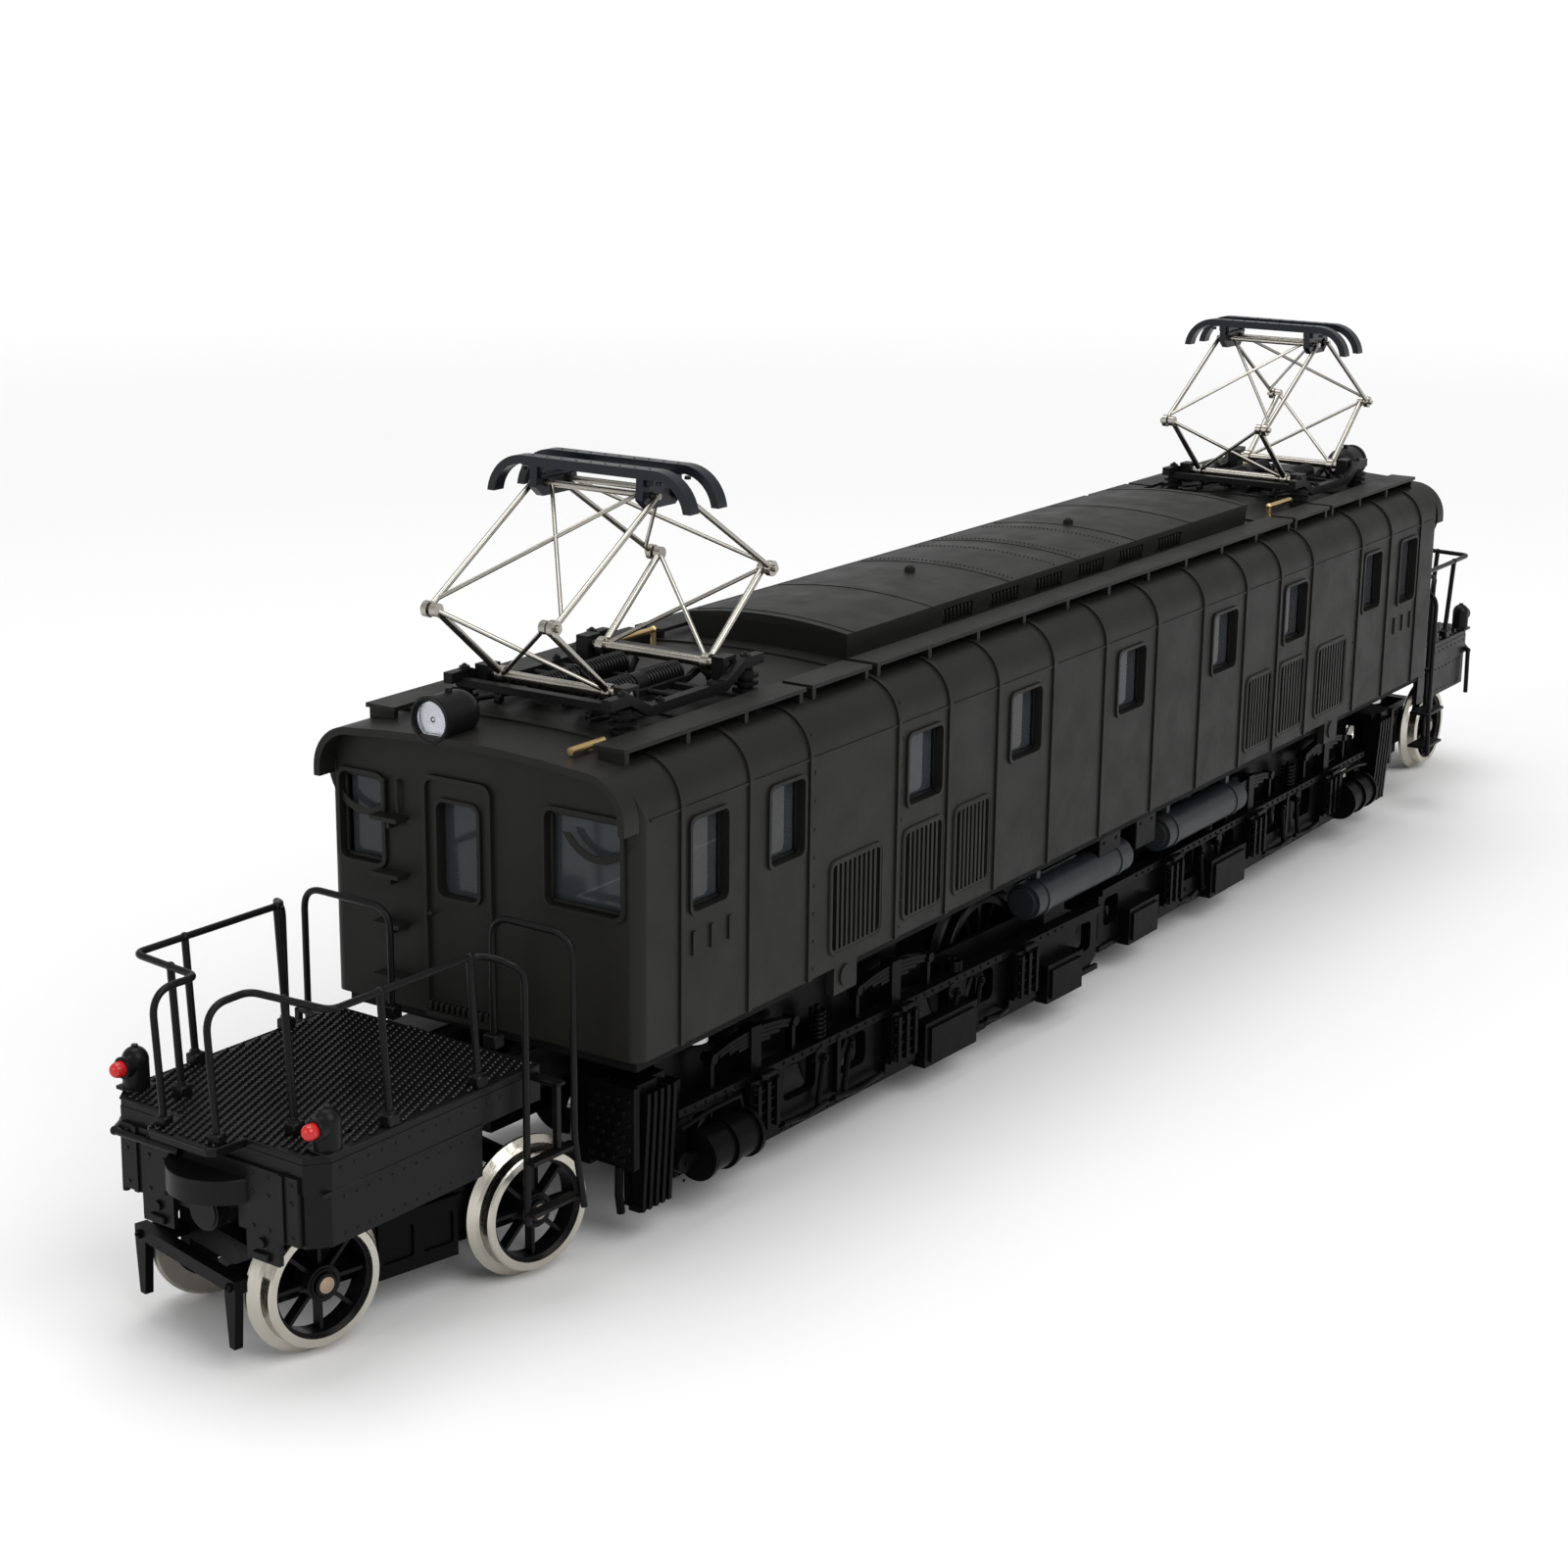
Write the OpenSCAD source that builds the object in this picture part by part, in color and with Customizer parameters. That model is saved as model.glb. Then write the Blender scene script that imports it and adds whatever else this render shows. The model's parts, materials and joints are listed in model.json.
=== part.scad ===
// Model electric locomotive with two swivelling end-deck trucks, 16.5 mm gauge, scale 1:80.
// X runs along the locomotive, the near end is at -X.  Z is up, and z = 0 is the plane that the
// wheel flanges rest on.  Heights below are given above the rail top, which is flange_depth higher.

/* [Body] */
// Length of the body between its end walls
body_l = 185; // [180:0.5:190]
// Width of the body over its side walls
body_w = 35; // [34:0.5:36]
// Height of the body's lower edge above the rail
body_bottom = 19.5; // [19:0.1:20]
// Height of the gutter, where the side turns into the roof
gutter_z = 41.3; // [41:0.1:42]
// Radius of the roof's shoulder
shoulder_r = 4.3; // [4:0.1:4.6]
// Rise of the roof's crown above its shoulders
crown_rise = 0.7; // [0.4:0.1:1]
// Thickness of the body's sheet
wall = 0.9; // [0.7:0.1:1.1]
// How far the roof stands out over each end wall
roof_overhang = 2; // [1:0.1:2.2]

/* [Wheels] */
// Tread radius of a pilot wheel
pilot_r = 5.6; // [5.4:0.1:5.6]
// Tread radius of a driving wheel
driver_r = 7.8; // [7.5:0.1:7.9]
// Depth of the flanges
flange_depth = 0.9; // [0.7:0.1:1]
// Distance between the backs of two wheels on an axle
back_to_back = 14.2; // [14:0.1:14.4]
// Width of a wheel from its back to its face
wheel_w = 2.3; // [2.2:0.1:2.5]

/* [Trucks] */
// Distance from the middle of the body to a main truck's kingpin
pivot_x = 60; // [58:1:62]
// Distance from the middle of the body to a pilot truck's pivot
pilot_x = 105.8; // [105:0.1:106.5]
// Half the wheelbase of a pilot truck
pilot_half_base = 11.2; // [11:0.1:11.4]
// Distance from the middle of the body to the middle driving axle
driver_x = 43.5; // [43:0.5:44]
// Distance between driving axles
driver_pitch = 24; // [23:0.5:25]
// How far the near main truck is turned, in degrees
near_turn = 2.4; // [0:0.1:4]
// How far the near pilot truck is turned on the main truck, in degrees
near_pilot_turn = 11.2; // [0:0.1:14]

/* [End decks] */
// Height of the deck above the rail
deck_z = 19.7; // [19.3:0.1:20]
// Half the width of the deck
deck_hw = 12; // [11.5:0.1:12.2]
// Height of the handrail above the rail
handrail_z = 31.1; // [29:0.1:32]
// Radius of the handrail wire
wire_r = 0.32; // [0.28:0.01:0.36]

/* [Pantographs] */
// Distance from the middle of the body to a pantograph's middle
panto_x = 73.6; // [73:0.1:74]
// Distance from the pantograph's middle to a main shaft
shaft_x = 7.6; // [7.4:0.1:7.8]
// Height of the main shafts above the rail
shaft_z = 48.9; // [48.7:0.1:49.2]
// Distance from the pantograph's middle to a knee
knee_x = 16.8; // [16.5:0.1:17]
// Height of the knees above the rail
knee_z = 56.5; // [56:0.1:57]
// Distance from the pantograph's middle to a head pivot
head_x = 1.65; // [1.5:0.05:1.8]
// Height of the head pivots above the rail
head_z = 65.9; // [65.5:0.1:66.2]
// Radius of the pantograph's arms
arm_r = 0.3; // [0.25:0.01:0.35]

/* [Hidden] */
$fn = 48;

brown = [0.20, 0.19, 0.18];
black = [0.09, 0.09, 0.10];
nickel = [0.78, 0.76, 0.72];

half_l = body_l / 2;
half_w = body_w / 2;
roof_z = gutter_z + shoulder_r;
crown_z = roof_z + crown_rise;
crown_chord = half_w - shoulder_r;
crown_r = (crown_chord * crown_chord + crown_rise * crown_rise) / (2 * crown_rise);
running_gap = 0.06;
seam_hw = 0.3;
seam_proud = 0.22;

// Seams between the side panels, and the windows and louvres between them, from the middle out
seams = [6.35, 18.35, 30.15, 40.15, 49.9, 65.6, 75.6, 86.2];
cab_window = [82, 35.6, 5.6, 8.4];
door_window = [69.6, 36.1, 5.6, 7.4];
side_windows = [[0, 36.2, 6.4, 7], [24.3, 36.2, 6.4, 7], [44.9, 36.2, 6.4, 7]];
louvres = [[57.4, 25.6, 9.2, 9.2, 10], [44.9, 25.6, 7.6, 9.2, 8], [35.1, 25.6, 7.2, 9.2, 8]];
// End-wall openings as [y, z, width, height]
end_window_wide = [-11.7, 36.8, 8.2, 8.6];
end_window_narrow = [13.5, 36.8, 5, 8.2];
end_door = [2.3, 30.7, 7.8, 22.4];
door_light = [2.3, 35.4, 4.6, 8.8];

axle_r = 1;
driver_axle_r = 1.5;
driver_axles = [driver_x + driver_pitch, driver_x, driver_x - driver_pitch];
floor_z = 18.3;
floor_t = 1;
kingpin_r = 2;
pilot_pin_r = 1.2;
motor_z = 25.5;

// ---- shared shapes -------------------------------------------------------------------------

// Rectangle with rounded corners, about its centre
module rounded_rect(w, h, r) {
    square([w - 2 * r, h], center = true);
    square([w, h - 2 * r], center = true);
    for (x = [-1, 1], y = [-1, 1])
        translate([x * (w / 2 - r), y * (h / 2 - r)]) circle(r, $fn = 32);
}

// Block between two corners
module block(a, b) {
    translate(a) cube(b - a);
}

// Round rod from p to q
module rod(p, q, r, fn = 20) {
    d = q - p;
    h = norm(d);
    translate(p) rotate([0, acos(d.z / h), atan2(d.y, d.x)]) cylinder(r = r, h = h, $fn = fn);
}

// Wire through a list of points, with a slightly fuller ball at each bend
module wire(points, r) {
    for (i = [0:len(points) - 2]) rod(points[i], points[i + 1], r, 16);
    for (i = [1:len(points) - 2]) translate(points[i]) sphere(r + 0.08, $fn = 16);
}

// Cylinder along Y, centred on y
module cross_cyl(x, z, r, h, y = 0) {
    translate([x, y, z]) rotate([90, 0, 0]) cylinder(r = r, h = h, center = true);
}

// Both sides of the locomotive
module both_sides() {
    for (s = [0, 1]) mirror([0, s, 0]) children();
}

// Frames of reference: the body, either main truck, either pilot truck and either pantograph
module on_body() {
    translate([0, 0, flange_depth]) children();
}
module on_near_truck() {
    on_body() translate([-pivot_x, 0, 0]) rotate([0, 0, -near_turn])
        translate([pivot_x, 0, 0]) children();
}
module on_far_truck() {
    on_body() rotate([0, 0, 180]) children();
}
module on_near_pilot() {
    on_near_truck() translate([-pilot_x, 0, 0]) rotate([0, 0, -near_pilot_turn]) children();
}
module on_far_pilot() {
    on_far_truck() translate([-pilot_x, 0, 0]) children();
}
module on_pantograph(side) {
    on_body() translate([side * panto_x, 0, 0]) children();
}

// ---- body ----------------------------------------------------------------------------------

// Cross-section of body and roof in Y and Z, drawn in by inset
module roof_section(inset, bottom) {
    translate([-half_w + inset, bottom]) square([body_w - 2 * inset, gutter_z - bottom]);
    for (s = [-1, 1])
        translate([s * crown_chord, gutter_z]) circle(shoulder_r - inset, $fn = 96);
    intersection() {
        translate([0, crown_z - crown_r]) circle(crown_r - inset, $fn = 720);
        translate([-crown_chord, gutter_z]) square([2 * crown_chord, 20]);
    }
}

// Solid with that cross-section, between two places along X
module roof_solid(inset, bottom, x0, x1) {
    translate([x0, 0, 0]) rotate([90, 0, 90]) linear_extrude(x1 - x0) roof_section(inset, bottom);
}

// What fittings on the roof are cut by: the roof with its seams, over and beyond both ends
module roof_cutter() {
    roof_solid(0, gutter_z - 1, -half_l - 4, half_l + 4);
    mirrored_x() for (s = seams)
        roof_solid(-seam_proud, gutter_z - 1, s - seam_hw, s + seam_hw);
}

// Opening through both side walls
module side_hole(win, grow) {
    translate([win[0], 0, win[1]]) rotate([90, 0, 0])
        linear_extrude(body_w + 4, center = true) rounded_rect(win[2] + grow, win[3] + grow, 0.7);
}

// Raised rim round an opening on both sides
module side_rim(win) {
    both_sides() translate([win[0], -half_w + 0.1, win[1]]) rotate([90, 0, 0])
        linear_extrude(0.35) difference() {
            rounded_rect(win[2] + 0.7, win[3] + 0.7, 0.9);
            rounded_rect(win[2], win[3], 0.7);
        }
}

// Opening and raised rim in the near end wall
module end_hole(win, grow, depth = 6) {
    translate([-half_l - 2, win[0], win[1]]) rotate([90, 0, 90])
        linear_extrude(depth) rounded_rect(win[2] + grow, win[3] + grow, 0.8);
}
module end_rim(win, width, proud) {
    translate([-half_l - proud, win[0], win[1]]) rotate([90, 0, 90])
        linear_extrude(proud + 0.1) difference() {
            rounded_rect(win[2] + 2 * width, win[3] + 2 * width, 1.1);
            rounded_rect(win[2], win[3], 0.8);
        }
}

// Things repeated at both ends, turned half round
module both_ends() {
    for (a = [0, 180]) rotate([0, 0, a]) children();
}

// Things repeated in front of and behind the middle of the sides
module mirrored_x() {
    for (s = [0, 1]) mirror([s, 0, 0]) children();
}

module body_box() {
    difference() {
        intersection() {
            roof_solid(0, body_bottom, -half_l, half_l);
            linear_extrude(80) rounded_rect(body_l, body_w, 1.2);
        }
        roof_solid(wall, body_bottom - 1, -half_l + wall, half_l - wall);
        mirrored_x() {
            side_hole(cab_window, 0);
            side_hole(door_window, 0);
            for (w = side_windows) side_hole(w, 0);
            for (l = louvres) side_hole(l, 0);
        }
        both_ends() {
            end_hole(end_window_wide, 0);
            end_hole(end_window_narrow, 0);
            end_hole(door_light, 0);
        }
    }
}

module roof_ends() {
    both_ends() difference() {
        roof_solid(0, gutter_z - 0.8, half_l - 0.1, half_l + roof_overhang);
        roof_solid(0.7, gutter_z - 2, half_l - 1, half_l + roof_overhang + 1);
        block([half_l, -half_w - 1, gutter_z - 6],
              [half_l + roof_overhang + 1, half_w + 1, gutter_z - 0.8]);
    }
}

module seam_strips() {
    mirrored_x() for (s = seams) difference() {
        roof_solid(-seam_proud, body_bottom, s - seam_hw, s + seam_hw);
        roof_solid(0.2, body_bottom - 1, s - 1, s + 1);
    }
    both_sides() block([-half_l + 1.7, -half_w - 0.12, gutter_z - 0.2],
                       [half_l - 1.7, -half_w + 0.1, gutter_z]);
}

// Plates hanging under the sides, with their corner rounded off
module side_tabs() {
    mirrored_x() both_sides() {
        block([-61, -half_w, body_bottom - 2.8], [-56.9, -half_w + wall, body_bottom + 0.1]);
        translate([-58.95, -half_w + 0.1, body_bottom - 1.2]) rotate([90, 0, 0])
            cylinder(r = 1.1, h = 0.3);
        for (x = [-84.4, -81.6, -78.8])
            block([x - 0.25, -half_w - 0.2, 27.4], [x + 0.25, -half_w + 0.1, 29.6]);
    }
}

// Door leaf, its frame and sill, proud of the end wall, and the foot brackets beside it
module end_details() {
    both_ends() {
        end_rim(end_window_wide, 0.4, 0.35);
        end_rim(end_window_narrow, 0.4, 0.35);
        end_rim([end_door[0], end_door[1] + 0.2, end_door[2] - 0.8, end_door[3] - 0.8],
                0.45, 0.4);
        end_rim(door_light, 0.35, 0.3);
        block([-half_l - 0.7, end_door[0] - 3.6, body_bottom],
              [-half_l + 0.1, end_door[0] + 3.6, body_bottom + 0.5]);
        for (z = [22.3, 27.3, 32, 37.3]) foot_bracket(z);
        for (y = [9, 10.6])
            rod([-half_l - 0.4, y, 38], [-half_l - 0.4, y, 41], 0.18, 16);
        for (y = [9, 10.6])
            block([-half_l - 0.5, y - 0.15, 40.7], [-half_l + 0.1, y + 0.15, 41]);
    }
}
module foot_bracket(z) {
    block([-half_l - 1.6, 8.2, z], [-half_l + 0.1, 11.4, z + 0.4]);
    block([-half_l - 0.9, 9.6, z - 0.8], [-half_l + 0.1, 10, z + 0.1]);
}

// Blocks inside the corners that the body screws hold
module screw_blocks() {
    for (x = [-80, 80], y = [-1, 1])
        block([x - 2.2, min(y * 12.2, y * 16.7), floor_z + floor_t],
              [x + 2.2, max(y * 12.2, y * 16.7), floor_z + 5]);
}

module body_shell() {
    color(brown) on_body() difference() {
        union() {
            body_box();
            roof_ends();
            seam_strips();
            side_tabs();
            end_details();
            mirrored_x() {
                side_rim(cab_window);
                side_rim(door_window);
                for (w = side_windows) side_rim(w);
            }
            screw_blocks();
        }
        mirrored_x() for (l = louvres) side_hole(l, 0);
        for (x = [-80, 80], y = [-14.4, 14.4])
            translate([x, y, floor_z]) cylinder(r = 0.85, h = 4);
    }
}

// Thin sheets behind the windows
module body_glazing() {
    sheet = 0.4;
    inner = half_w - wall - 0.05;
    color([0.8, 0.85, 0.88, 0.5]) on_body() {
        both_sides() block([-half_l + 4, -inner, 30.9], [half_l - 4, -inner + sheet, 41]);
        both_ends() block([-half_l + wall + 0.05, -inner + 1, 31],
                          [-half_l + wall + 0.05 + sheet, inner - 1, 41.2]);
    }
}

// Ventilation louvres: a rim with upright slats on a thin backing
module louvre_grilles() {
    color(brown) on_body() mirrored_x() both_sides() for (l = louvres)
        translate([l[0], -half_w, l[1]]) rotate([90, 0, 0]) {
            translate([0, 0, -0.55]) linear_extrude(0.7) louvre_face(l[2], l[3], l[4]);
            translate([0, 0, -wall + 0.05]) linear_extrude(0.3)
                rounded_rect(l[2] - 0.1, l[3] - 0.1, 0.7);
        }
}
module louvre_face(w, h, slats) {
    gap = 0.05;
    pitch = (w - 0.8) / slats;
    difference() {
        rounded_rect(w - 2 * gap, h - 2 * gap, 0.65);
        rounded_rect(w - 0.7, h - 0.7, 0.5);
    }
    for (i = [1:slats - 1])
        translate([-w / 2 + 0.4 + i * pitch - 0.2, -h / 2 + 0.3]) square([0.4, h - 0.6]);
}

// Long raised ventilator along the middle of the roof
module roof_monitor() {
    len = 46.9;
    top_hw = 9.5;
    foot_hw = 9.2;
    edge_z = 48.6;
    top_z = 49.4;
    top_r = 56.8;
    color(brown) on_body() difference() {
        intersection() {
            translate([-len, 0, 0]) rotate([90, 0, 90]) linear_extrude(2 * len) intersection() {
                polygon([[-foot_hw, 44], [-top_hw, edge_z], [-top_hw, 52], [top_hw, 52],
                         [top_hw, edge_z], [foot_hw, 44]]);
                translate([0, top_z - top_r]) circle(top_r, $fn = 720);
            }
            rotate([90, 0, 0]) linear_extrude(40, center = true)
                polygon([[-len + 0.5, 44], [-len, edge_z], [-len, 52], [len, 52], [len, edge_z],
                         [len - 0.5, 44]]);
        }
        roof_cutter();
        both_sides() for (x = [-25:10:25])
            block([x - 3.1, -10.5, 46.3], [x + 3.1, -8.7, 47.9]);
    }
}

// Running boards beside the pantographs and the monitor, on brackets
module roof_walkways() {
    inner = 11.2;
    outer = 14.6;
    board_z = 46.5;
    color(brown) on_body() both_sides() {
        for (span = [[-90.5, -62], [-61, -50.4], [-49.4, 49.4], [50.4, 61], [62, 90.5]])
            walkway(span[0], span[1], inner, outer, board_z);
    }
}
module walkway(x0, x1, inner, outer, z) {
    bays = round((x1 - x0) / 9.8);
    block([x0, -outer, z], [x1, -inner, z + 0.4]);
    difference() {
        for (i = [0:bays]) let (x = x0 + 0.6 + i * (x1 - x0 - 1.2) / bays)
            block([x - 0.3, -outer + 0.2, gutter_z], [x + 0.3, -inner - 0.3, z]);
        roof_cutter();
    }
}

// Headlamp shells on a foot, one at each end, beside the middle of the roof
headlight_y = 3.7;
headlight_z = 47.6;
headlight_r = 2.1;
module headlights() {
    color(black) on_body() both_ends() difference() {
        union() {
            translate([-half_l - 1.9, headlight_y, headlight_z]) rotate([0, 90, 0]) {
                cylinder(r = headlight_r, h = 3.6);
                cylinder(r = headlight_r + 0.12, h = 0.5);
            }
            translate([-half_l + 1.7, headlight_y, headlight_z]) sphere(headlight_r);
            block([-half_l - 0.6, headlight_y - 1, crown_z - 1.2],
                  [-half_l + 2.6, headlight_y + 1, headlight_z - 1]);
        }
        translate([-half_l - 2, headlight_y, headlight_z]) rotate([0, 90, 0])
            cylinder(r = headlight_r - 0.35, h = 1.6);
        roof_cutter();
    }
}
module headlight_lenses() {
    color([0.85, 0.88, 0.9]) on_body() both_ends() difference() {
        translate([-half_l - 1.6, headlight_y, headlight_z]) rotate([0, 90, 0])
            cylinder(r = headlight_r - 0.42, h = 0.6);
        roof_cutter();
    }
}

// Brass pipes on the roof beside each pantograph, each on a small foot
module roof_pipes() {
    color([0.72, 0.58, 0.30]) on_body() both_ends() {
        rod([-half_l + 0.5, -9.9, 46.4], [-half_l + 5.2, -9.9, 46.4], 0.35);
        difference() {
            block([-half_l + 3.4, -10.1, gutter_z], [-half_l + 3.9, -9.7, 46.2]);
            roof_cutter();
        }
        wire([[-59, 9.9, 47.6], [-52.6, 9.9, 47.6], [-52.6, 9.9, 46.3]], 0.3);
        difference() {
            rod([-52.6, 9.9, 46.3], [-52.6, 9.9, 44], 0.3);
            roof_cutter();
        }
    }
}

// ---- chassis -------------------------------------------------------------------------------

module chassis_floor() {
    inner = half_w - wall - 0.1;
    color([0.3, 0.3, 0.3]) on_body() difference() {
        union() {
            block([-half_l + wall + 0.1, -inner, floor_z],
                  [half_l - wall - 0.1, inner, floor_z + floor_t]);
            for (s = [-1, 1], y = [-1, 1])
                translate([s * 14, y * 6 - 1, floor_z + floor_t]) cube([2, 2, 0.8]);
        }
        for (s = [-1, 1]) {
            block([min(s * 50, s * 37), -6.5, floor_z - 1], [max(s * 50, s * 37), 6.5, 22]);
            translate([s * pivot_x, 0, floor_z - 1])
                cylinder(r = kingpin_r + 0.03, h = floor_t + 2);
        }
        for (x = [-80, 80], y = [-14.4, 14.4])
            translate([x, y, floor_z - 1]) cylinder(r = 0.85, h = 4);
    }
}

// Can motor, open at the ends where its shaft comes out
module motor_case() {
    color([0.6, 0.6, 0.62]) on_body() difference() {
        block([-16, -8, floor_z + floor_t + 0.8], [16, 8, motor_z + 5.5]);
        translate([-20, 0, motor_z]) rotate([0, 90, 0])
            cylinder(r = 1 + running_gap, h = 40);
        for (s = [-1, 1]) block([min(s * 2, s * 15), -6, motor_z + 3.5],
                                [max(s * 2, s * 15), 6, motor_z + 6]);
    }
}

// Motor shaft with its flywheels and rubber coupling tubes
module motor_shaft() {
    color([0.7, 0.6, 0.35]) on_body() {
        rod([-30, 0, motor_z], [30, 0, motor_z], 1, 40);
        for (s = [-1, 1]) {
            rod([s * 17.5, 0, motor_z], [s * 26, 0, motor_z], 5.4, 64);
            rod([s * 28.5, 0, motor_z], [s * 37.6, 0, motor_z], 1.7, 40);
        }
    }
}

// Air reservoirs hung under the sides, with their straps, and boxes between them
tank_y = 14.7;
tank_z = 14.4;
tank_r = 2.05;
module air_tanks() {
    color([0.23, 0.25, 0.27]) on_body() both_ends() {
        air_tank(-18.6, 4.8);
        air_tank(13.4, 35.8);
        block([-3, -16, floor_z - 2.4], [2, -13, floor_z]);
        block([6.6, -15.8, 14.6], [11.4, -9.6, floor_z]);
    }
}
module air_tank(x0, x1) {
    rod([x0 + 0.5, -tank_y, tank_z], [x1 - 0.5, -tank_y, tank_z], tank_r, 48);
    rod([x0, -tank_y, tank_z], [x1, -tank_y, tank_z], tank_r - 0.45, 48);
    for (x = [x0 + 3, x1 - 3]) {
        rod([x - 0.4, -tank_y, tank_z], [x + 0.4, -tank_y, tank_z], tank_r + 0.12, 48);
        block([x - 0.4, -tank_y - 0.4, tank_z + 1], [x + 0.4, -tank_y + 0.4, floor_z]);
    }
}

// Kingpins that hold the trucks, and the four screws that hold the body
module fasteners() {
    color([0.65, 0.65, 0.66]) on_body() {
        for (s = [-1, 1]) translate([s * pivot_x, 0, 13.9]) {
            cylinder(r = kingpin_r, h = floor_z + floor_t - 13.9 + 0.8);
            cylinder(r = 3, h = 0.9);
            translate([0, 0, floor_z + floor_t - 13.9 + 0.05]) cylinder(r = 3.2, h = 0.7);
        }
        for (x = [-80, 80], y = [-14.4, 14.4]) translate([x, y, floor_z - 0.9]) {
            cylinder(r = 1.4, h = 0.85);
            cylinder(r = 0.78, h = 4.2);
        }
    }
}

// ---- main truck, drawn at the near end -----------------------------------------------------

module truck_frame() {
    inner = 5.4;
    outer = 6.8;
    color(black) difference() {
        union() {
            both_sides() {
                block([-84, inner, 4.6], [-9.5, outer, 13.8]);
                for (x = [-55.5, -31.5])
                    block([x - 1.5, outer - 0.1, 9], [x + 1.5, 12.4, 11.4]);
                block([-10.4, outer - 0.1, 6], [-9.6, 12.4, 9]);
                block([-80, 10.6, 9.6], [-40, 11.2, 16.4]);
                block([-40.1, 10.6, 9.6], [-10, 11.2, 12]);
                block([-79.6, outer - 0.1, 10], [-77.6, 12.4, 12.4]);
                block([-87.7, 9.6, 7.2], [-86.9, 15, 15]);
                block([-87, 9.6, 12.6], [-83.9, 14.6, 15]);
                step_box();
            }
            block([-84.2, -14, 13.7], [-82, 14, 15]);
            both_sides() block([-65.5, inner, 13.7], [-54.5, outer, 17.2]);
            block([-65.5, -outer, 15.6], [-54.5, outer, 17.2]);
            for (x = [-79.6, -31.5]) block([x - 1.5, -outer, 12.6], [x + 1.5, outer, 13.8]);
            block([-12.5, -outer, 6], [-9.5, outer, 13.8]);
        }
        for (x = driver_axles) cross_cyl(-x, driver_r, driver_axle_r + running_gap, 40);
        translate([-pivot_x, 0, 10]) cylinder(r = kingpin_r + running_gap, h = 10);
        translate([-pivot_x, 0, 10]) cylinder(r = 3.4, h = 5.2);
    }
}

// Ribbed foot steps at the front of the main truck
module step_box() {
    block([-86.4, 12.8, 3], [-82, 13.4, 14.4]);
    for (i = [0:4]) translate([-86.2 + i * 0.95, 0, 0]) rotate([90, 0, 90])
        linear_extrude(0.45) polygon([[13.3, 2.6], [14.8, 2.6], [14.8, 3], [15.4, 13],
                                      [15.4, 14.2], [13.3, 14.2]]);
    block([-86.4, 13.3, 2.6], [-82, 14.6, 3.2]);
}

truck_inner = 2.2;
module side_frames() {
    color(black) both_sides() translate([0, 13.6, 0]) rotate([90, 0, 0])
        linear_extrude(1.2) side_frame_face();
    color(black) both_sides() {
        for (x = driver_axles) axle_box(-x);
        brake_cylinder();
        block([-39.8, 13.5, 2.4], [-29.8, 15, 7.2]);
        block([-39, 14.9, 2.9], [-30.6, 15.3, 6.6]);
        block([-15.2, 13.5, 2.4], [-7.6, 15, 6.8]);
        block([-14.6, 14.9, 2.9], [-8.2, 15.3, 6.2]);
        block([-54.6, 13.5, 4.2], [-54, 14.2, 10]);
        block([-80, 13.5, 9.6], [-truck_inner, 14.1, 10.4]);
        block([-72, 13.5, 2.8], [-truck_inner, 13.9, 3.4]);
        for (x = [-57.6, -33.4]) translate([x, 13.5, 9]) rotate([-90, 0, 0])
            cylinder(r = 0.8, h = 0.7);
    }
}
module side_frame_face() {
    difference() {
        polygon([[-80, 10.4], [-truck_inner, 10.4], [-truck_inner, 4.4], [-4, 3], [-24, 3], [-26, 2.4],
                 [-38, 2.4], [-40, 3], [-68, 3], [-72, 3.6], [-80, 3.6]]);
        for (x = [-60.2, -51.5, -36.2, -27.2])
            translate([x, 7.4]) rounded_rect(5.4, 3.6, 0.8);
        translate([-75.3, 7]) rounded_rect(5.2, 4, 0.8);
        translate([-5.4, 7.2]) rounded_rect(3.6, 3.4, 0.7);
    }
}
module axle_box(x) {
    block([x - 2.3, 13.5, 4.6], [x + 2.3, 14.8, 10]);
    for (i = [-1, 0, 1]) block([x + i * 1.5 - 0.25, 14.7, 4.8], [x + i * 1.5 + 0.25, 15.3, 9.6]);
    block([x - 2.8, 13.5, 3.6], [x + 2.8, 14.4, 4.7]);
}

// Air brake cylinder, with end flanges and a push rod
module brake_cylinder() {
    y = 14.6;
    z = 5.5;
    rod([-78.2, y, z], [-70.4, y, z], 2.2, 48);
    for (x = [-78.2, -74.6, -70.9]) rod([x, y, z], [x + 0.5, y, z], 2.5, 48);
    rod([-80.2, y, z], [-78.2, y, z], 0.55);
    cross_cyl(-80.2, z, 1, 0.8, y);
}

// Leaf springs over the first two driving axles, on hangers
module leaf_springs() {
    color(black) both_sides() for (x = [-driver_axles[0], -driver_axles[1]]) {
        for (i = [0:3]) leaf(x, 7 - 1.5 * i, 14.6 - 0.42 * i);
        block([x - 0.8, 12.2, 10.4], [x + 0.8, 13.7, 14.9]);
        for (s = [-1, 1]) {
            block([x + s * 6.5 - 0.25, 12.5, 10.4], [x + s * 6.5 + 0.25, 13.4, 13.5]);
            cross_cyl(x + s * 6.5, 13.5, 0.5, 1.4, 13);
        }
    }
}
module leaf(x, half, top) {
    bend = 26;
    intersection() {
        difference() {
            cross_cyl(x, top - bend, bend, 1, 13);
            cross_cyl(x, top - bend, bend - 0.36, 3, 13);
        }
        block([x - half, 12, top - 2], [x + half, 14, top + 1]);
    }
}

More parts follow.
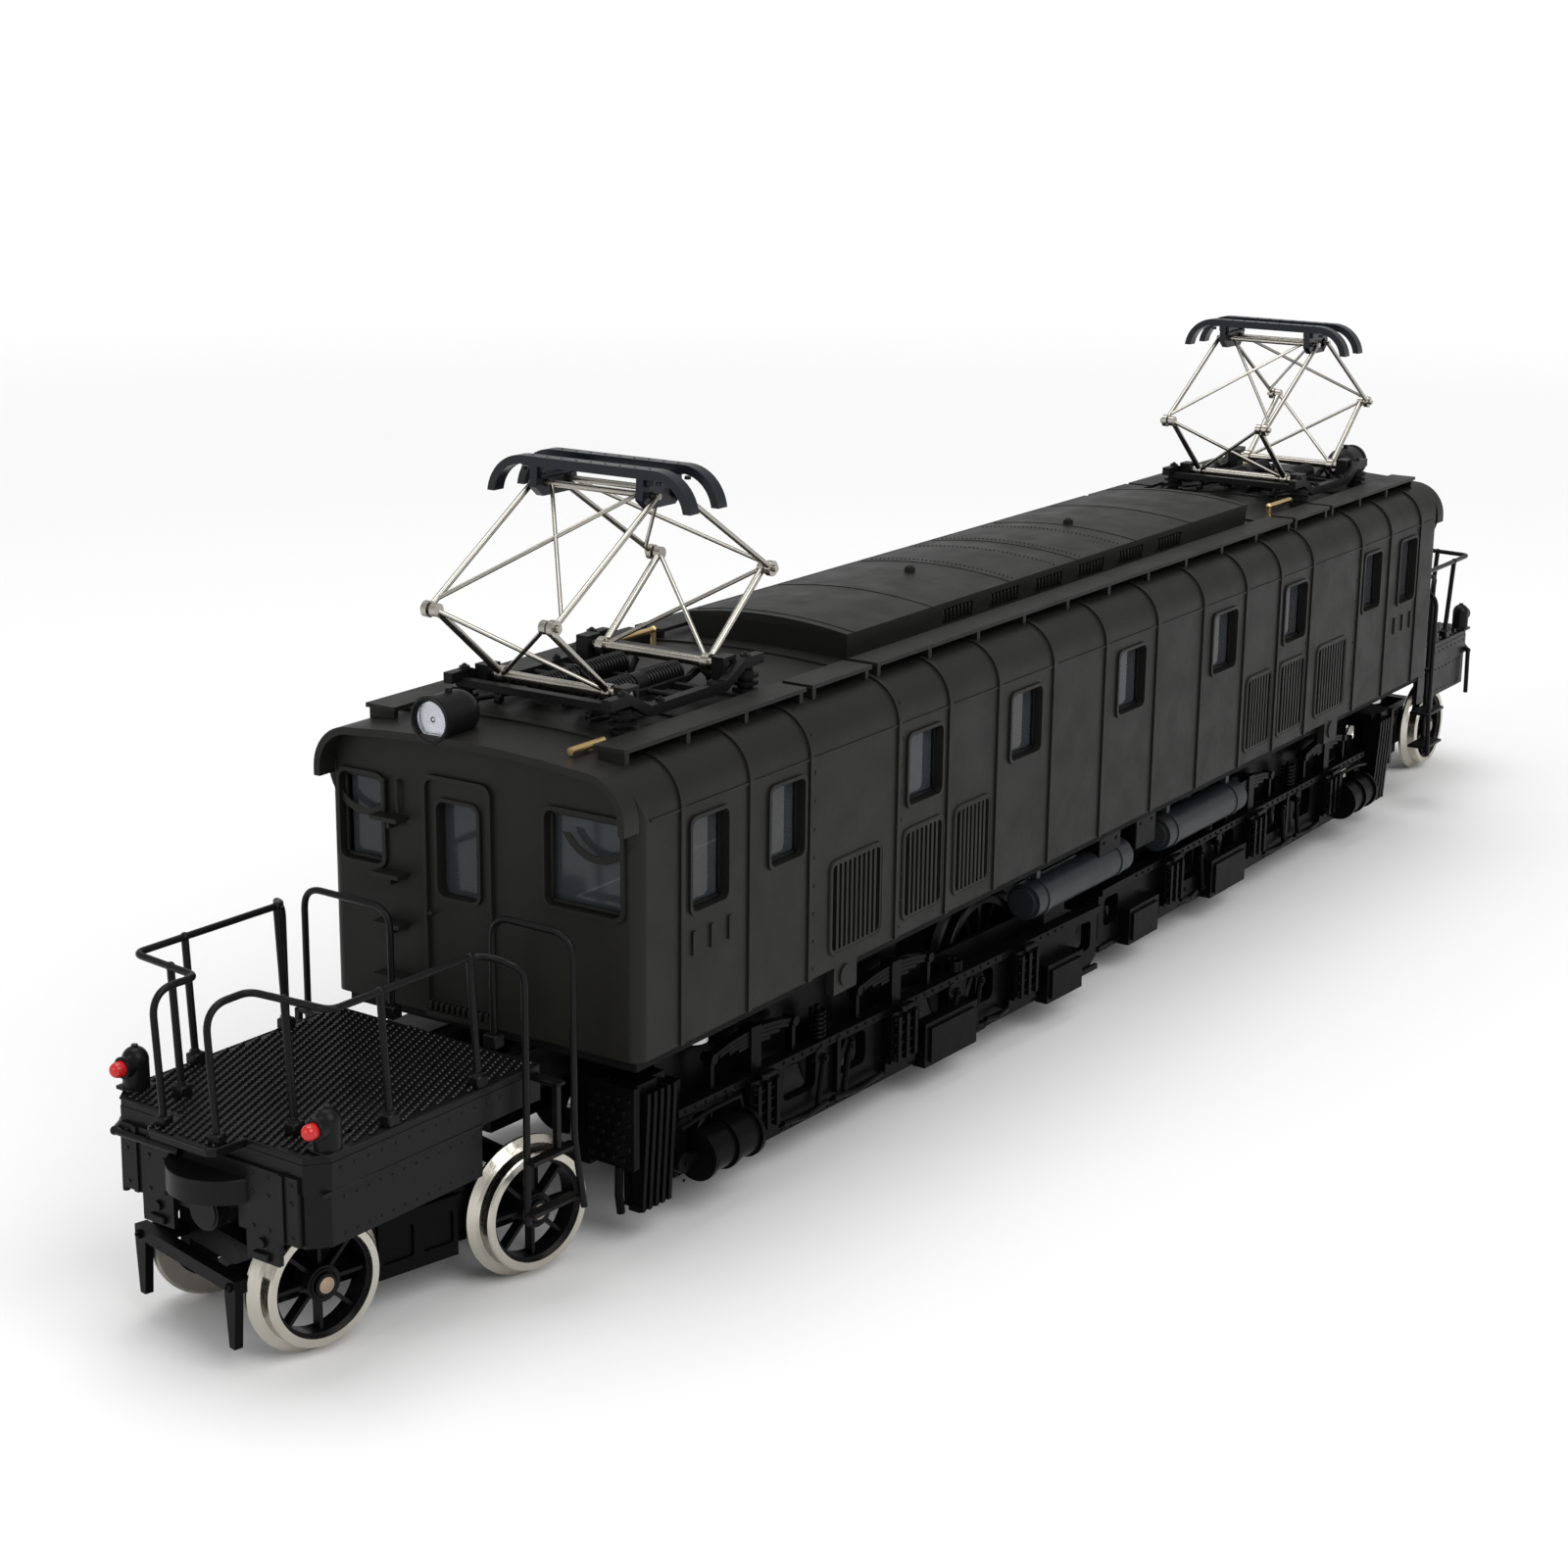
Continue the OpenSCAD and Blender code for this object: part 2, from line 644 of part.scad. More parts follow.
// Gear case over the three driving axles, with a tower to the motor coupling
module gear_case() {
    color([0.5, 0.45, 0.3]) difference() {
        union() {
            for (x = driver_axles) block([-x - 3.8, -3, 3.4], [-x + 3.8, 3, 12.2]);
            block([-driver_axles[0], -3, 9.6], [-driver_axles[2], 3, 12.2]);
            block([-driver_x - 3, -3, 12], [-driver_x + 3, 3, motor_z + 2.6]);
            rod([-driver_x + 2.9, 0, motor_z], [-38.1, 0, motor_z], 1, 40);
            for (x = [-76.5, -31.5]) block([x - 0.8, -5.4, 10.2], [x + 0.8, 5.4, 12.1]);
            block([-77.3, -3, 9.6], [-driver_axles[0], 3, 12.2]);
        }
        for (x = driver_axles) {
            cross_cyl(-x, driver_r, driver_axle_r + running_gap, 20);
            cross_cyl(-x, driver_r, 4.3, 2.6);
            block([-x - 4.3, -1.3, 3], [-x + 4.3, 1.3, driver_r]);
        }
    }
}

// ---- end deck, drawn at the near end -------------------------------------------------------

deck_front = 124.2;
deck_rear = 97;
corner_x = 122.4;
corner_hw = 10.6;
tongue_x = 127.6;
tongue_hw = 4.2;

// Outline of the deck's beams, and of the plate that juts out over the coupler
module deck_outline(grow = 0) {
    w = deck_hw + grow;
    f = deck_front + grow;
    polygon([[-deck_rear, w], [-corner_x, w], [-f, corner_hw + grow / 2],
             [-f, -corner_hw - grow / 2], [-corner_x, -w], [-deck_rear, -w]]);
}
module deck_tongue() {
    polygon([[-deck_front + 1, tongue_hw], [-tongue_x + 0.5, tongue_hw - 0.3],
             [-tongue_x, tongue_hw - 0.9], [-tongue_x, -tongue_hw + 0.9],
             [-tongue_x + 0.5, -tongue_hw + 0.3], [-deck_front + 1, -tongue_hw]]);
}

module deck_plate() {
    color(black) difference() {
        translate([0, 0, deck_z - 0.7]) linear_extrude(0.7) {
            deck_outline();
            deck_tongue();
        }
        for (x = [-101, -118], y = [-9.5, 9.5])
            translate([x, y, deck_z - 0.3]) cylinder(r = 0.45, h = 1);
    }
}

module deck_frame() {
    top = deck_z - 0.7;
    color(black) difference() {
        union() {
            translate([0, 0, 16.4]) linear_extrude(top - 16.4) difference() {
                deck_outline(0.06);
                deck_outline(-0.7);
            }
            translate([0, 0, 11.7]) linear_extrude(4.8) intersection() {
                difference() {
                    deck_outline(-0.1);
                    deck_outline(-0.8);
                }
                translate([-deck_front, -20]) square([deck_front - 104.4, 40]);
            }
            translate([0, 0, top - 0.9]) linear_extrude(0.9) deck_outline(-0.5);
            front_beam();
            drawhook_boss();
            both_sides() {
                block([-deck_front + 0.3, 3.6, 13.2], [-deck_rear, 5, top]);
                block([-deck_rear - 1, 3.6, 13.2], [-84.2, 5, 17.2]);
            }
            translate([-pilot_x, 0, 13]) cylinder(r = 3.4, h = top - 13);
            block([-pilot_x - 3, -4, 13.2], [-pilot_x + 3, 4, top]);
            lever_arm();
        }
        block([-104.4, -20, 10], [-90, -9, 16.3]);
        block([-104.4, 9, 10], [-90, 20, 16.3]);
        block([-deck_front - 2, -2.9, 10], [-deck_front + 4, -1.9, 14.2]);
        block([-deck_front - 2, 1.9, 10], [-deck_front + 4, 2.9, 14.2]);
        translate([-130, 0, drawhook_z]) rotate([0, 90, 0]) cylinder(r = 0.8, h = 12);
    }
    color(nickel) pilot_screw();
}

// Front beam with its rounded lip over the coupler opening, and the wings beside that
module front_beam() {
    block([-deck_front - 0.4, -corner_hw + 0.3, 14.2], [-deck_front + 0.1, corner_hw - 0.3, 17.8]);
    both_sides() {
        block([-deck_front - 0.4, 4.3, 11.9], [-deck_front + 0.1, corner_hw - 0.3, 14.3]);
        block([-deck_front - 0.4, 4.3, 9.6], [-deck_front + 0.1, 8, 12]);
        block([-deck_front - 0.6, 8.3, 11.9], [-deck_front - 0.3, 8.8, 17.8]);
    }
    intersection() {
        translate([-122.6, 0, 14.3]) cylinder(r = 4.9, h = 2.1, $fn = 64);
        block([-130, -6, 14], [-deck_front + 0.1, 6, 17]);
    }
}

// Boss that the coupler's shank goes into, hung from the deck
drawhook_z = 12.6;
module drawhook_boss() {
    rod([-125.2, 0, drawhook_z], [-121.2, 0, drawhook_z], 1.7, 40);
    block([-124.3, -1.1, drawhook_z + 1.2], [-121.4, 1.1, deck_z - 0.7]);
}

// Uncoupling lever along the front beam
module lever_arm() {
    wire([[-124.85, 3, 16.9], [-124.85, 10.8, 16.9], [-122.3, 12.6, 16.6],
          [-122.3, 12.7, 10.2]], wire_r);
    block([-125.1, 6.6, 16.6], [-124.5, 7.2, 17.2]);
}

// Screw that the pilot truck swings on
module pilot_screw() {
    translate([-pilot_x, 0, 7.1]) {
        cylinder(r = pilot_pin_r, h = 5.9);
        cylinder(r = 2.1, h = 0.8);
    }
}

// Handrails, cab hoops and foot steps of one deck; the rails' tops all lean the same way
rail_lean = 0.7;
module deck_rails() {
    color(black) {
        deck_rail(rail_lean);
        hoop(30, 16.8);
        mirror([0, 1, 0]) {
            deck_rail(-rail_lean);
            hoop(31.8, 15.2);
        }
    }
}
module deck_rail(lean) {
    z = handrail_z;
    wire([[-126.2, 3.1, deck_z], [-126.2, 3.1 + lean, z - 1.2], [-125, 3.1 + lean, z],
          [-121.4, 3 + lean, z], [-120.6, 11.4 + lean, z], [-103.4, 11.4 + lean, z],
          [-102.6, 13.6 + lean * 0.6, z - 0.2], [-101.4, 14.3, z - 1.2],
          [-101.4, 14.3, 6.8]], wire_r);
    for (p = [[-121, 6.6], [-115, 11.4], [-104.2, 11.4]]) rail_post(p.x, p.y, lean);
    block([-126.8, 2.5, deck_z], [-125.6, 3.7, deck_z + 0.9]);
}
module rail_post(x, y, lean) {
    rod([x, y, deck_z], [x, y + lean, handrail_z], 0.36);
    block([x - 0.7, y - 0.6, deck_z], [x + 0.7, y + 0.6, deck_z + 1.1]);
}

// Hoop at the cab door, its outer leg going down to two steps
module hoop(top, outer) {
    x = -96.2;
    wire([[x, 6.1, deck_z], [x, 6.1, top - 1.1], [x, 7.2, top], [x, outer - 1.1, top],
          [x, outer, top - 1.1], [x, outer, 13.4], [x + 0.7, outer + 0.5, 6.8]], wire_r);
    block([-96.9, 5.4, deck_z], [-95.6, 6.8, deck_z + 1.2]);
    for (z = [12.4, 7.6]) block([-101.7, 14.2, z], [-95.7, outer + 0.2, z + 0.4]);
    block([-98.2, deck_hw + 0.07, deck_z - 1.2], [-97, outer - 0.2, deck_z - 0.8]);
    block([-98.2, outer - 0.8, 12.4], [-97.6, outer - 0.2, deck_z - 0.8]);
}

lamp_x = 121.9;
lamp_y = 11.2;
module tail_lamps() {
    color(black) both_sides() difference() {
        union() {
            translate([-lamp_x, lamp_y, deck_z]) cylinder(r = 1.15, h = 2.6);
            translate([-lamp_x, lamp_y, deck_z + 2.6]) sphere(1.15);
            translate([-lamp_x - 1.5, lamp_y, deck_z + 2.2]) rotate([0, 90, 0])
                cylinder(r = 0.95, h = 1.5);
            block([-lamp_x - 1.2, lamp_y - 1.2, deck_z], [-lamp_x + 1.2, lamp_y + 1.2,
                                                         deck_z + 0.3]);
        }
        translate([-lamp_x - 2, lamp_y, deck_z + 2.2]) rotate([0, 90, 0])
            cylinder(r = 0.72, h = 1.2);
    }
}
module tail_lenses() {
    color([0.7, 0.1, 0.08]) both_sides()
        translate([-lamp_x - 2, lamp_y, deck_z + 2.2]) rotate([0, 90, 0]) {
            cylinder(r = 0.68, h = 1.1);
            sphere(0.68);
        }
}

// ---- wheels --------------------------------------------------------------------------------

// Tyre with flange, as a ring round Y, its face towards +Y; inner_r is its bore
module tyre(r, inner_r) {
    back = back_to_back / 2;
    rotate([-90, 0, 0]) rotate_extrude($fn = 96) polygon([
        [inner_r, back], [r + flange_depth - 0.25, back], [r + flange_depth, back + 0.2],
        [r + flange_depth, back + 0.45], [r + 0.25, back + 0.85], [r, back + 1.1],
        [r - 0.06, back + wheel_w - 0.15], [r - 0.2, back + wheel_w],
        [inner_r, back + wheel_w]]);
}

// Spoked wheel centre that fills a tyre's bore
module spoked_centre(rim_r, rim_t, hub_r, count, spoke_w) {
    back = back_to_back / 2;
    rotate([-90, 0, 0]) {
        difference() {
            translate([0, 0, back]) cylinder(r = rim_r, h = wheel_w - 0.45, $fn = 96);
            translate([0, 0, back - 1]) cylinder(r = rim_r - rim_t, h = wheel_w + 2, $fn = 96);
        }
        translate([0, 0, back]) cylinder(r = hub_r, h = wheel_w - 0.2, $fn = 64);
        translate([0, 0, back + 0.5]) linear_extrude(wheel_w - 1.3)
            for (i = [0:count - 1]) rotate(i * 360 / count)
                translate([hub_r / 2, -spoke_w / 2]) square([rim_r - rim_t / 2 - hub_r / 2,
                                                             spoke_w]);
    }
}

// Toothed wheel on a driving axle
module axle_gear(r, teeth, w) {
    rotate([90, 0, 0]) linear_extrude(w, center = true)
        polygon([for (i = [0:4 * teeth - 1]) let (a = i * 90 / teeth,
                 q = (i % 4 < 2) ? r : r - 0.45) [q * cos(a), q * sin(a)]]);
}

// Driving wheelset: axle, wheels and gear
module driver(x) {
    color([0.25, 0.25, 0.26]) translate([-x, 0, driver_r]) {
        rotate([90, 0, 0]) cylinder(r = driver_axle_r, h = back_to_back + 2 * wheel_w,
                                    center = true);
        both_sides() {
            tyre(driver_r, driver_r - 0.9);
            spoked_centre(driver_r - 0.9, 0.8, 2.4, 12, 0.7);
        }
        axle_gear(3.9, 20, 2);
    }
}

module pilot_tyres(x) {
    color(nickel) translate([x, 0, pilot_r]) both_sides() tyre(pilot_r, pilot_r - 0.85);
}
module pilot_centres(x) {
    color(black) translate([x, 0, pilot_r]) {
        both_sides() spoked_centre(pilot_r - 0.85, 0.35, 1.6, 8, 0.34);
        rotate([90, 0, 0]) cylinder(r = axle_r, h = back_to_back + 2 * wheel_w + 0.3,
                                    center = true);
    }
}

// Pilot truck frame with its rail guards, drawn about its pivot
module pilot_frame() {
    color(black) difference() {
        union() {
            both_sides() {
                block([-15.4, 4.8, 3.6], [13.6, 6.3, 8.9]);
                block([-4.2, 6.2, 2.8], [4.2, 7, 8.4]);
                block([-5.6, 6.2, 5], [-4.1, 6.8, 8.4]);
                block([4.1, 6.2, 5], [5.6, 6.8, 8.4]);
                rail_guard();
            }
            block([-5, -4.9, 8.1], [5, 4.9, 10.6]);
            translate([0, 0, 8.1]) cylinder(r = 4.2, h = 4.4);
            block([-15.4, -4.9, 6.2], [-13.6, 4.9, 8.6]);
            block([12.9, -4.9, 6.6], [13.6, 4.9, 8.6]);
            both_sides() block([-18.9, 4.8, 6.6], [-15.3, 6.3, 7.6]);
            block([-18.9, -7.8, 6.4], [-17.7, 7.8, 7.6]);
        }
        for (x = [-pilot_half_base, pilot_half_base])
            cross_cyl(x, pilot_r, axle_r + running_gap, 40);
        cylinder(r = pilot_pin_r + running_gap, h = 20);
        translate([0, 0, 5]) cylinder(r = 2.6, h = 3.3);
        both_sides() for (x = [-2.1, 2.1])
            translate([x, 6.75, 5.6]) rotate([-90, 0, 0])
                linear_extrude(1) rounded_rect(3.2, 3, 0.3);
    }
}
module rail_guard() {
    translate([-18.9, 0, 0]) rotate([90, 0, 90]) linear_extrude(0.8)
        polygon([[6.2, 7.6], [7.8, 7.6], [7.8, 5.9], [7.4, 1.4], [6.6, 1.4], [6.2, 5.9]]);
}

// ---- pantograph, drawn about its own middle ------------------------------------------------

lower_y = 6.1;
upper_y = 7;
module panto_base() {
    rail_y = 9;
    color(black) {
        both_sides() {
            for (x = [-9.6, 9.6]) difference() {
                insulator(x, rail_y);
                for (s = [-1, 1]) translate([s * panto_x, 0, 0]) roof_cutter();
            }
            cranked_rail(rail_y);
            for (x = [-shaft_x, shaft_x]) shaft_bearing(x);
            rod([-5.6, 3.2, shaft_z - 1], [5.6, 3.2, shaft_z - 1], 0.75);
            rod([-7.2, 3.2, shaft_z - 1], [7.2, 3.2, shaft_z - 1], 0.3);
        }
        for (x = [-10.4, 10.4]) block([x - 0.5, -rail_y, 48.1], [x + 0.5, rail_y, 48.8]);
        for (x = [-4, 4]) block([x - 0.4, -rail_y + 0.3, 46.9], [x + 0.4, rail_y - 0.3, 47.5]);
        both_sides() for (x = [-4, 4])
            block([x - 0.4, 2.8, 47.4], [x + 0.4, 3.6, shaft_z - 1]);
    }
}
module insulator(x, y) {
    translate([x, y, gutter_z]) cylinder(r = 0.75, h = 48.2 - gutter_z);
    for (z = [46.2, 46.9, 47.6]) translate([x, y, z]) cylinder(r = 1.25, h = 0.35);
    block([x - 1.5, y - 1.2, gutter_z], [x + 1.5, y + 1.2, 45.9]);
}
module cranked_rail(y) {
    points = [[-12, 49], [-9, 49], [-6, 47.4], [6, 47.4], [9, 49], [12, 49]];
    translate([0, y + 0.5, 0]) rotate([90, 0, 0]) linear_extrude(1) polygon(concat(
        [for (p = points) [p[0], p[1] + 0.5]],
        [for (i = [5:-1:0]) [points[i][0], points[i][1] - 0.5]]));
}
module shaft_bearing(x) {
    difference() {
        block([x - 1, 7.2, 47.4], [x + 1, 8.6, shaft_z + 0.9]);
        cross_cyl(x, shaft_z, 0.5 + running_gap, 30);
    }
}

// Lower frame towards -X: main shaft, two arms and two crossing stays up to the knees
module panto_lower() {
    s = [-shaft_x, 0, shaft_z];
    k = [-knee_x, 0, knee_z];
    color(nickel) {
        rod(s + [0, -8.4, 0], s + [0, 8.4, 0], 0.5, 32);
        both_sides() {
            rod(s + [0, lower_y, 0], k + [0, lower_y, 0], arm_r + 0.05);
            cross_cyl(k.x, k.z, 0.62, 0.7, lower_y);
            cross_cyl(k.x, k.z, 0.3, 1.9, lower_y + 0.65);
            rod(s + [0, -lower_y, 0], k + [0, lower_y, 0], 0.22);
            cross_cyl(s.x, s.z, 0.85, 0.8, lower_y);
        }
    }
}

// Upper frame towards -X: two arms and two crossing stays, an eye at each knee, and a pin
// through the head
module panto_upper_frame() {
    k = [-knee_x, 0, knee_z];
    h = [-head_x, 0, head_z];
    color(nickel) {
        both_sides() {
            difference() {
                union() {
                    rod(k + [0, upper_y, 0], h + [0, upper_y, 0], arm_r - 0.02);
                    cross_cyl(k.x, k.z, 0.75, 0.6, upper_y);
                    rod(k + [1.2, upper_y - 0.1, 0.75], h + [0, -4.9, 0], 0.2);
                }
                cross_cyl(k.x, k.z, 0.3 + running_gap, 4, upper_y);
            }
        }
        rod(h + [0, -upper_y - 0.3, 0], h + [0, upper_y + 0.3, 0], 0.3);
    }
}

// Head: two contact shoes with turned-down horns, joined by two deep brackets
module panto_head() {
    color([0.10, 0.11, 0.14]) {
        for (x = [-2.2, 2.2]) shoe(x);
        both_sides() difference() {
            translate([0, 6.4, 0]) rotate([90, 0, 0]) linear_extrude(0.8)
                polygon([[-2.9, 67.6], [-3.1, 65.6], [-2, 64.7], [2, 64.7], [3.1, 65.6],
                         [2.9, 67.6]]);
            cross_cyl(-head_x, head_z, 0.3 + running_gap, 30);
            cross_cyl(head_x, head_z, 0.62, 30);
        }
    }
}
module shoe(x) {
    flat = 7.4;
    horn_r = 4.1;
    top = 68.4;
    block([x - 0.7, -flat, top - 0.9], [x + 0.7, flat, top]);
    both_sides() intersection() {
        translate([x, flat, top - horn_r]) rotate([0, 90, 0]) difference() {
            cylinder(r = horn_r, h = 1.4, center = true);
            cylinder(r = horn_r - 0.8, h = 2, center = true);
        }
        block([x - 1, flat, 64.8], [x + 1, flat + 5, 70]);
    }
}

// ---- nodes ---------------------------------------------------------------------------------

module truck_frame_near() { on_near_truck() truck_frame(); }
module side_frames_near() { on_near_truck() side_frames(); }
module leaf_springs_near() { on_near_truck() leaf_springs(); }
module deck_frame_near() { on_near_truck() deck_frame(); }
module deck_plate_near() { on_near_truck() deck_plate(); }
module deck_rails_near() { on_near_truck() deck_rails(); }
module tail_lamps_near() { on_near_truck() tail_lamps(); }
module tail_lenses_near() { on_near_truck() tail_lenses(); }
module gear_case_near() { on_near_truck() gear_case(); }
module truck_frame_far() { on_far_truck() truck_frame(); }
module side_frames_far() { on_far_truck() side_frames(); }
module leaf_springs_far() { on_far_truck() leaf_springs(); }
module deck_frame_far() { on_far_truck() deck_frame(); }
module deck_plate_far() { on_far_truck() deck_plate(); }
module deck_rails_far() { on_far_truck() deck_rails(); }
module tail_lamps_far() { on_far_truck() tail_lamps(); }
module tail_lenses_far() { on_far_truck() tail_lenses(); }
module gear_case_far() { on_far_truck() gear_case(); }
module driver_near_1() { on_near_truck() driver(driver_axles[0]); }
module driver_near_2() { on_near_truck() driver(driver_axles[1]); }
module driver_near_3() { on_near_truck() driver(driver_axles[2]); }
module driver_far_1() { on_far_truck() driver(driver_axles[0]); }
module driver_far_2() { on_far_truck() driver(driver_axles[1]); }
module driver_far_3() { on_far_truck() driver(driver_axles[2]); }
module pilot_frame_near() { on_near_pilot() pilot_frame(); }
module pilot_tyres_near_1() { on_near_pilot() pilot_tyres(-pilot_half_base); }
module pilot_tyres_near_2() { on_near_pilot() pilot_tyres(pilot_half_base); }
module pilot_centres_near_1() { on_near_pilot() pilot_centres(-pilot_half_base); }
module pilot_centres_near_2() { on_near_pilot() pilot_centres(pilot_half_base); }
module pilot_frame_far() { on_far_pilot() pilot_frame(); }
module pilot_tyres_far_1() { on_far_pilot() pilot_tyres(-pilot_half_base); }
module pilot_tyres_far_2() { on_far_pilot() pilot_tyres(pilot_half_base); }
module pilot_centres_far_1() { on_far_pilot() pilot_centres(-pilot_half_base); }
module pilot_centres_far_2() { on_far_pilot() pilot_centres(pilot_half_base); }
module panto_base_near() { on_pantograph(-1) panto_base(); }
module panto_lower_a_near() { on_pantograph(-1) panto_lower(); }
module panto_lower_b_near() { on_pantograph(-1) mirror([1, 0, 0]) panto_lower(); }
module panto_upper_a_near() { on_pantograph(-1) panto_upper_frame(); }
module panto_upper_b_near() { on_pantograph(-1) mirror([1, 0, 0]) panto_upper_frame(); }
module panto_head_near() { on_pantograph(-1) panto_head(); }
module panto_base_far() { on_pantograph(1) panto_base(); }
module panto_lower_a_far() { on_pantograph(1) panto_lower(); }
module panto_lower_b_far() { on_pantograph(1) mirror([1, 0, 0]) panto_lower(); }
module panto_upper_a_far() { on_pantograph(1) panto_upper_frame(); }
module panto_upper_b_far() { on_pantograph(1) mirror([1, 0, 0]) panto_upper_frame(); }
module panto_head_far() { on_pantograph(1) panto_head(); }

body_shell();
roof_monitor();
roof_walkways();
body_glazing();
louvre_grilles();
headlights();
headlight_lenses();
roof_pipes();
chassis_floor();
motor_case();
motor_shaft();
air_tanks();
fasteners();
truck_frame_near();
side_frames_near();
leaf_springs_near();
deck_frame_near();
deck_plate_near();
deck_rails_near();
tail_lamps_near();
tail_lenses_near();
gear_case_near();
driver_near_1();
driver_near_2();
driver_near_3();
pilot_frame_near();
pilot_tyres_near_1();
pilot_tyres_near_2();
pilot_centres_near_1();
pilot_centres_near_2();
truck_frame_far();
side_frames_far();
leaf_springs_far();
deck_frame_far();
deck_plate_far();
deck_rails_far();
tail_lamps_far();
tail_lenses_far();
gear_case_far();
driver_far_1();
driver_far_2();
driver_far_3();
pilot_frame_far();
pilot_tyres_far_1();
pilot_tyres_far_2();
pilot_centres_far_1();
pilot_centres_far_2();
panto_base_near();
panto_lower_a_near();
panto_lower_b_near();
panto_upper_a_near();
panto_upper_b_near();
panto_head_near();
panto_base_far();
panto_lower_a_far();
panto_lower_b_far();
panto_upper_a_far();
panto_upper_b_far();
panto_head_far();
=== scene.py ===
"""Looks for the model electric locomotive: camera, light, materials and fine detail.

The makers below draw in millimetres, with heights above the rail top. Each one draws in the
frame of the body, a truck, a pilot truck or a pantograph. What both ends have is drawn once, as
it is at the near end with its trucks straight, where X is negative.
"""
import functools
import json
import math

import bmesh
import bpy
from mathutils import Matrix, Vector


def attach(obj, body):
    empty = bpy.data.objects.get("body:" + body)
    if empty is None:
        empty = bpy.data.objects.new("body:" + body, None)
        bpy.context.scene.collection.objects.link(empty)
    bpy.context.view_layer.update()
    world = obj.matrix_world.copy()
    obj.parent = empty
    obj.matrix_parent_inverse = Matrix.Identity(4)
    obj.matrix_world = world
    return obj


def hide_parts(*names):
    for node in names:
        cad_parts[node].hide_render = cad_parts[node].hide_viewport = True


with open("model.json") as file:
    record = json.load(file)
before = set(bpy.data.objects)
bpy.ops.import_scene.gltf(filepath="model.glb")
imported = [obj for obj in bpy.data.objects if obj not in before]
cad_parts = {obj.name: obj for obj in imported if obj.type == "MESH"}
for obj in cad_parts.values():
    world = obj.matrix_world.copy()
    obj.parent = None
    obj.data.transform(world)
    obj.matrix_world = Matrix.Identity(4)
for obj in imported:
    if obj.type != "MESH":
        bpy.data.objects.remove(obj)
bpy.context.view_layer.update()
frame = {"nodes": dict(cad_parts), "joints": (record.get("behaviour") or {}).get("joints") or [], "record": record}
nodes = frame["nodes"]
joints = {j["name"]: j for j in frame["joints"]}

MM = 0.001
RAIL = 0.9 * MM  # the rail top is this far above the plane that the flanges rest on
ENDS = ("near", "far")
SIDES = (-1, 1)


# ---- places ---------------------------------------------------------------------------------

def body_place():
    """The body's own frame, with z measured from the rail top."""
    return Matrix.Translation((0, 0, RAIL)) @ Matrix.Scale(MM, 4)


def body_end_place(end):
    """The body's frame for what is drawn at the near end, half a turn round for the far end."""
    return Matrix.Rotation(ENDS.index(end) * math.pi, 4, "Z") @ body_place()


def axle_turn(joint):
    """How far a truck is turned in plan, from the direction of one of its axles."""
    axis = joints[joint]["axis"]
    return math.atan2(-axis[0], axis[1])


def truck_place(end):
    """A main truck's frame: the body's, turned about the kingpin with the truck."""
    pivot = Vector(joints[f"main_truck_{end}_swivel"]["pos_m"])
    turn = axle_turn(f"driver_{end}_2_spin")
    local = Vector((-abs(pivot.x), 0, 0))
    return (Matrix.Translation((pivot.x, 0, RAIL)) @ Matrix.Rotation(turn, 4, "Z")
            @ Matrix.Translation(-local) @ Matrix.Scale(MM, 4))


def pilot_place(end):
    """A pilot truck's frame, about its own pivot."""
    pivot = Vector(joints[f"pilot_truck_{end}_swivel"]["pos_m"])
    turn = axle_turn(f"pilot_wheels_{end}_1_spin")
    return (Matrix.Translation((pivot.x, pivot.y, RAIL)) @ Matrix.Rotation(turn, 4, "Z")
            @ Matrix.Scale(MM, 4))


def panto_place(end):
    """A pantograph's frame, about its own middle."""
    a = Vector(joints[f"panto_fold_{end}"]["pos_m"])
    b = Vector(joints[f"panto_lower_b_turn_{end}"]["pos_m"])
    return Matrix.Translation(((a.x + b.x) / 2, 0, RAIL)) @ Matrix.Scale(MM, 4)


# ---- materials ------------------------------------------------------------------------------

def new_material(name):
    """A material, its node tree and its Principled shader."""
    mat = bpy.data.materials.new(name)
    mat.use_nodes = True
    tree = mat.node_tree
    return mat, tree, tree.nodes["Principled BSDF"]


def noise(tree, scale, detail=3, rough=0.55, stretch=(1, 1, 1)):
    """Noise in the object's own coordinates, so that it stays with the surface."""
    coords = tree.nodes.new("ShaderNodeTexCoord")
    mapping = tree.nodes.new("ShaderNodeMapping")
    mapping.inputs["Scale"].default_value = stretch
    node = tree.nodes.new("ShaderNodeTexNoise")
    node.inputs["Scale"].default_value = scale
    node.inputs["Detail"].default_value = detail
    node.inputs["Roughness"].default_value = rough
    tree.links.new(coords.outputs["Object"], mapping.inputs["Vector"])
    tree.links.new(mapping.outputs["Vector"], node.inputs["Vector"])
    return node.outputs["Fac"]


def ramp(tree, source, stops):
    """Colours or grey levels along a 0 to 1 value."""
    node = tree.nodes.new("ShaderNodeValToRGB")
    node.color_ramp.elements[0].position = stops[0][0]
    node.color_ramp.elements[1].position = stops[-1][0]
    for place, _ in stops[1:-1]:
        node.color_ramp.elements.new(place)
    for element, (_, value) in zip(node.color_ramp.elements, stops):
        colour = value if isinstance(value, tuple) else (value, value, value)
        element.color = (*colour, 1)
    tree.links.new(source, node.inputs["Fac"])
    return node.outputs["Color"]


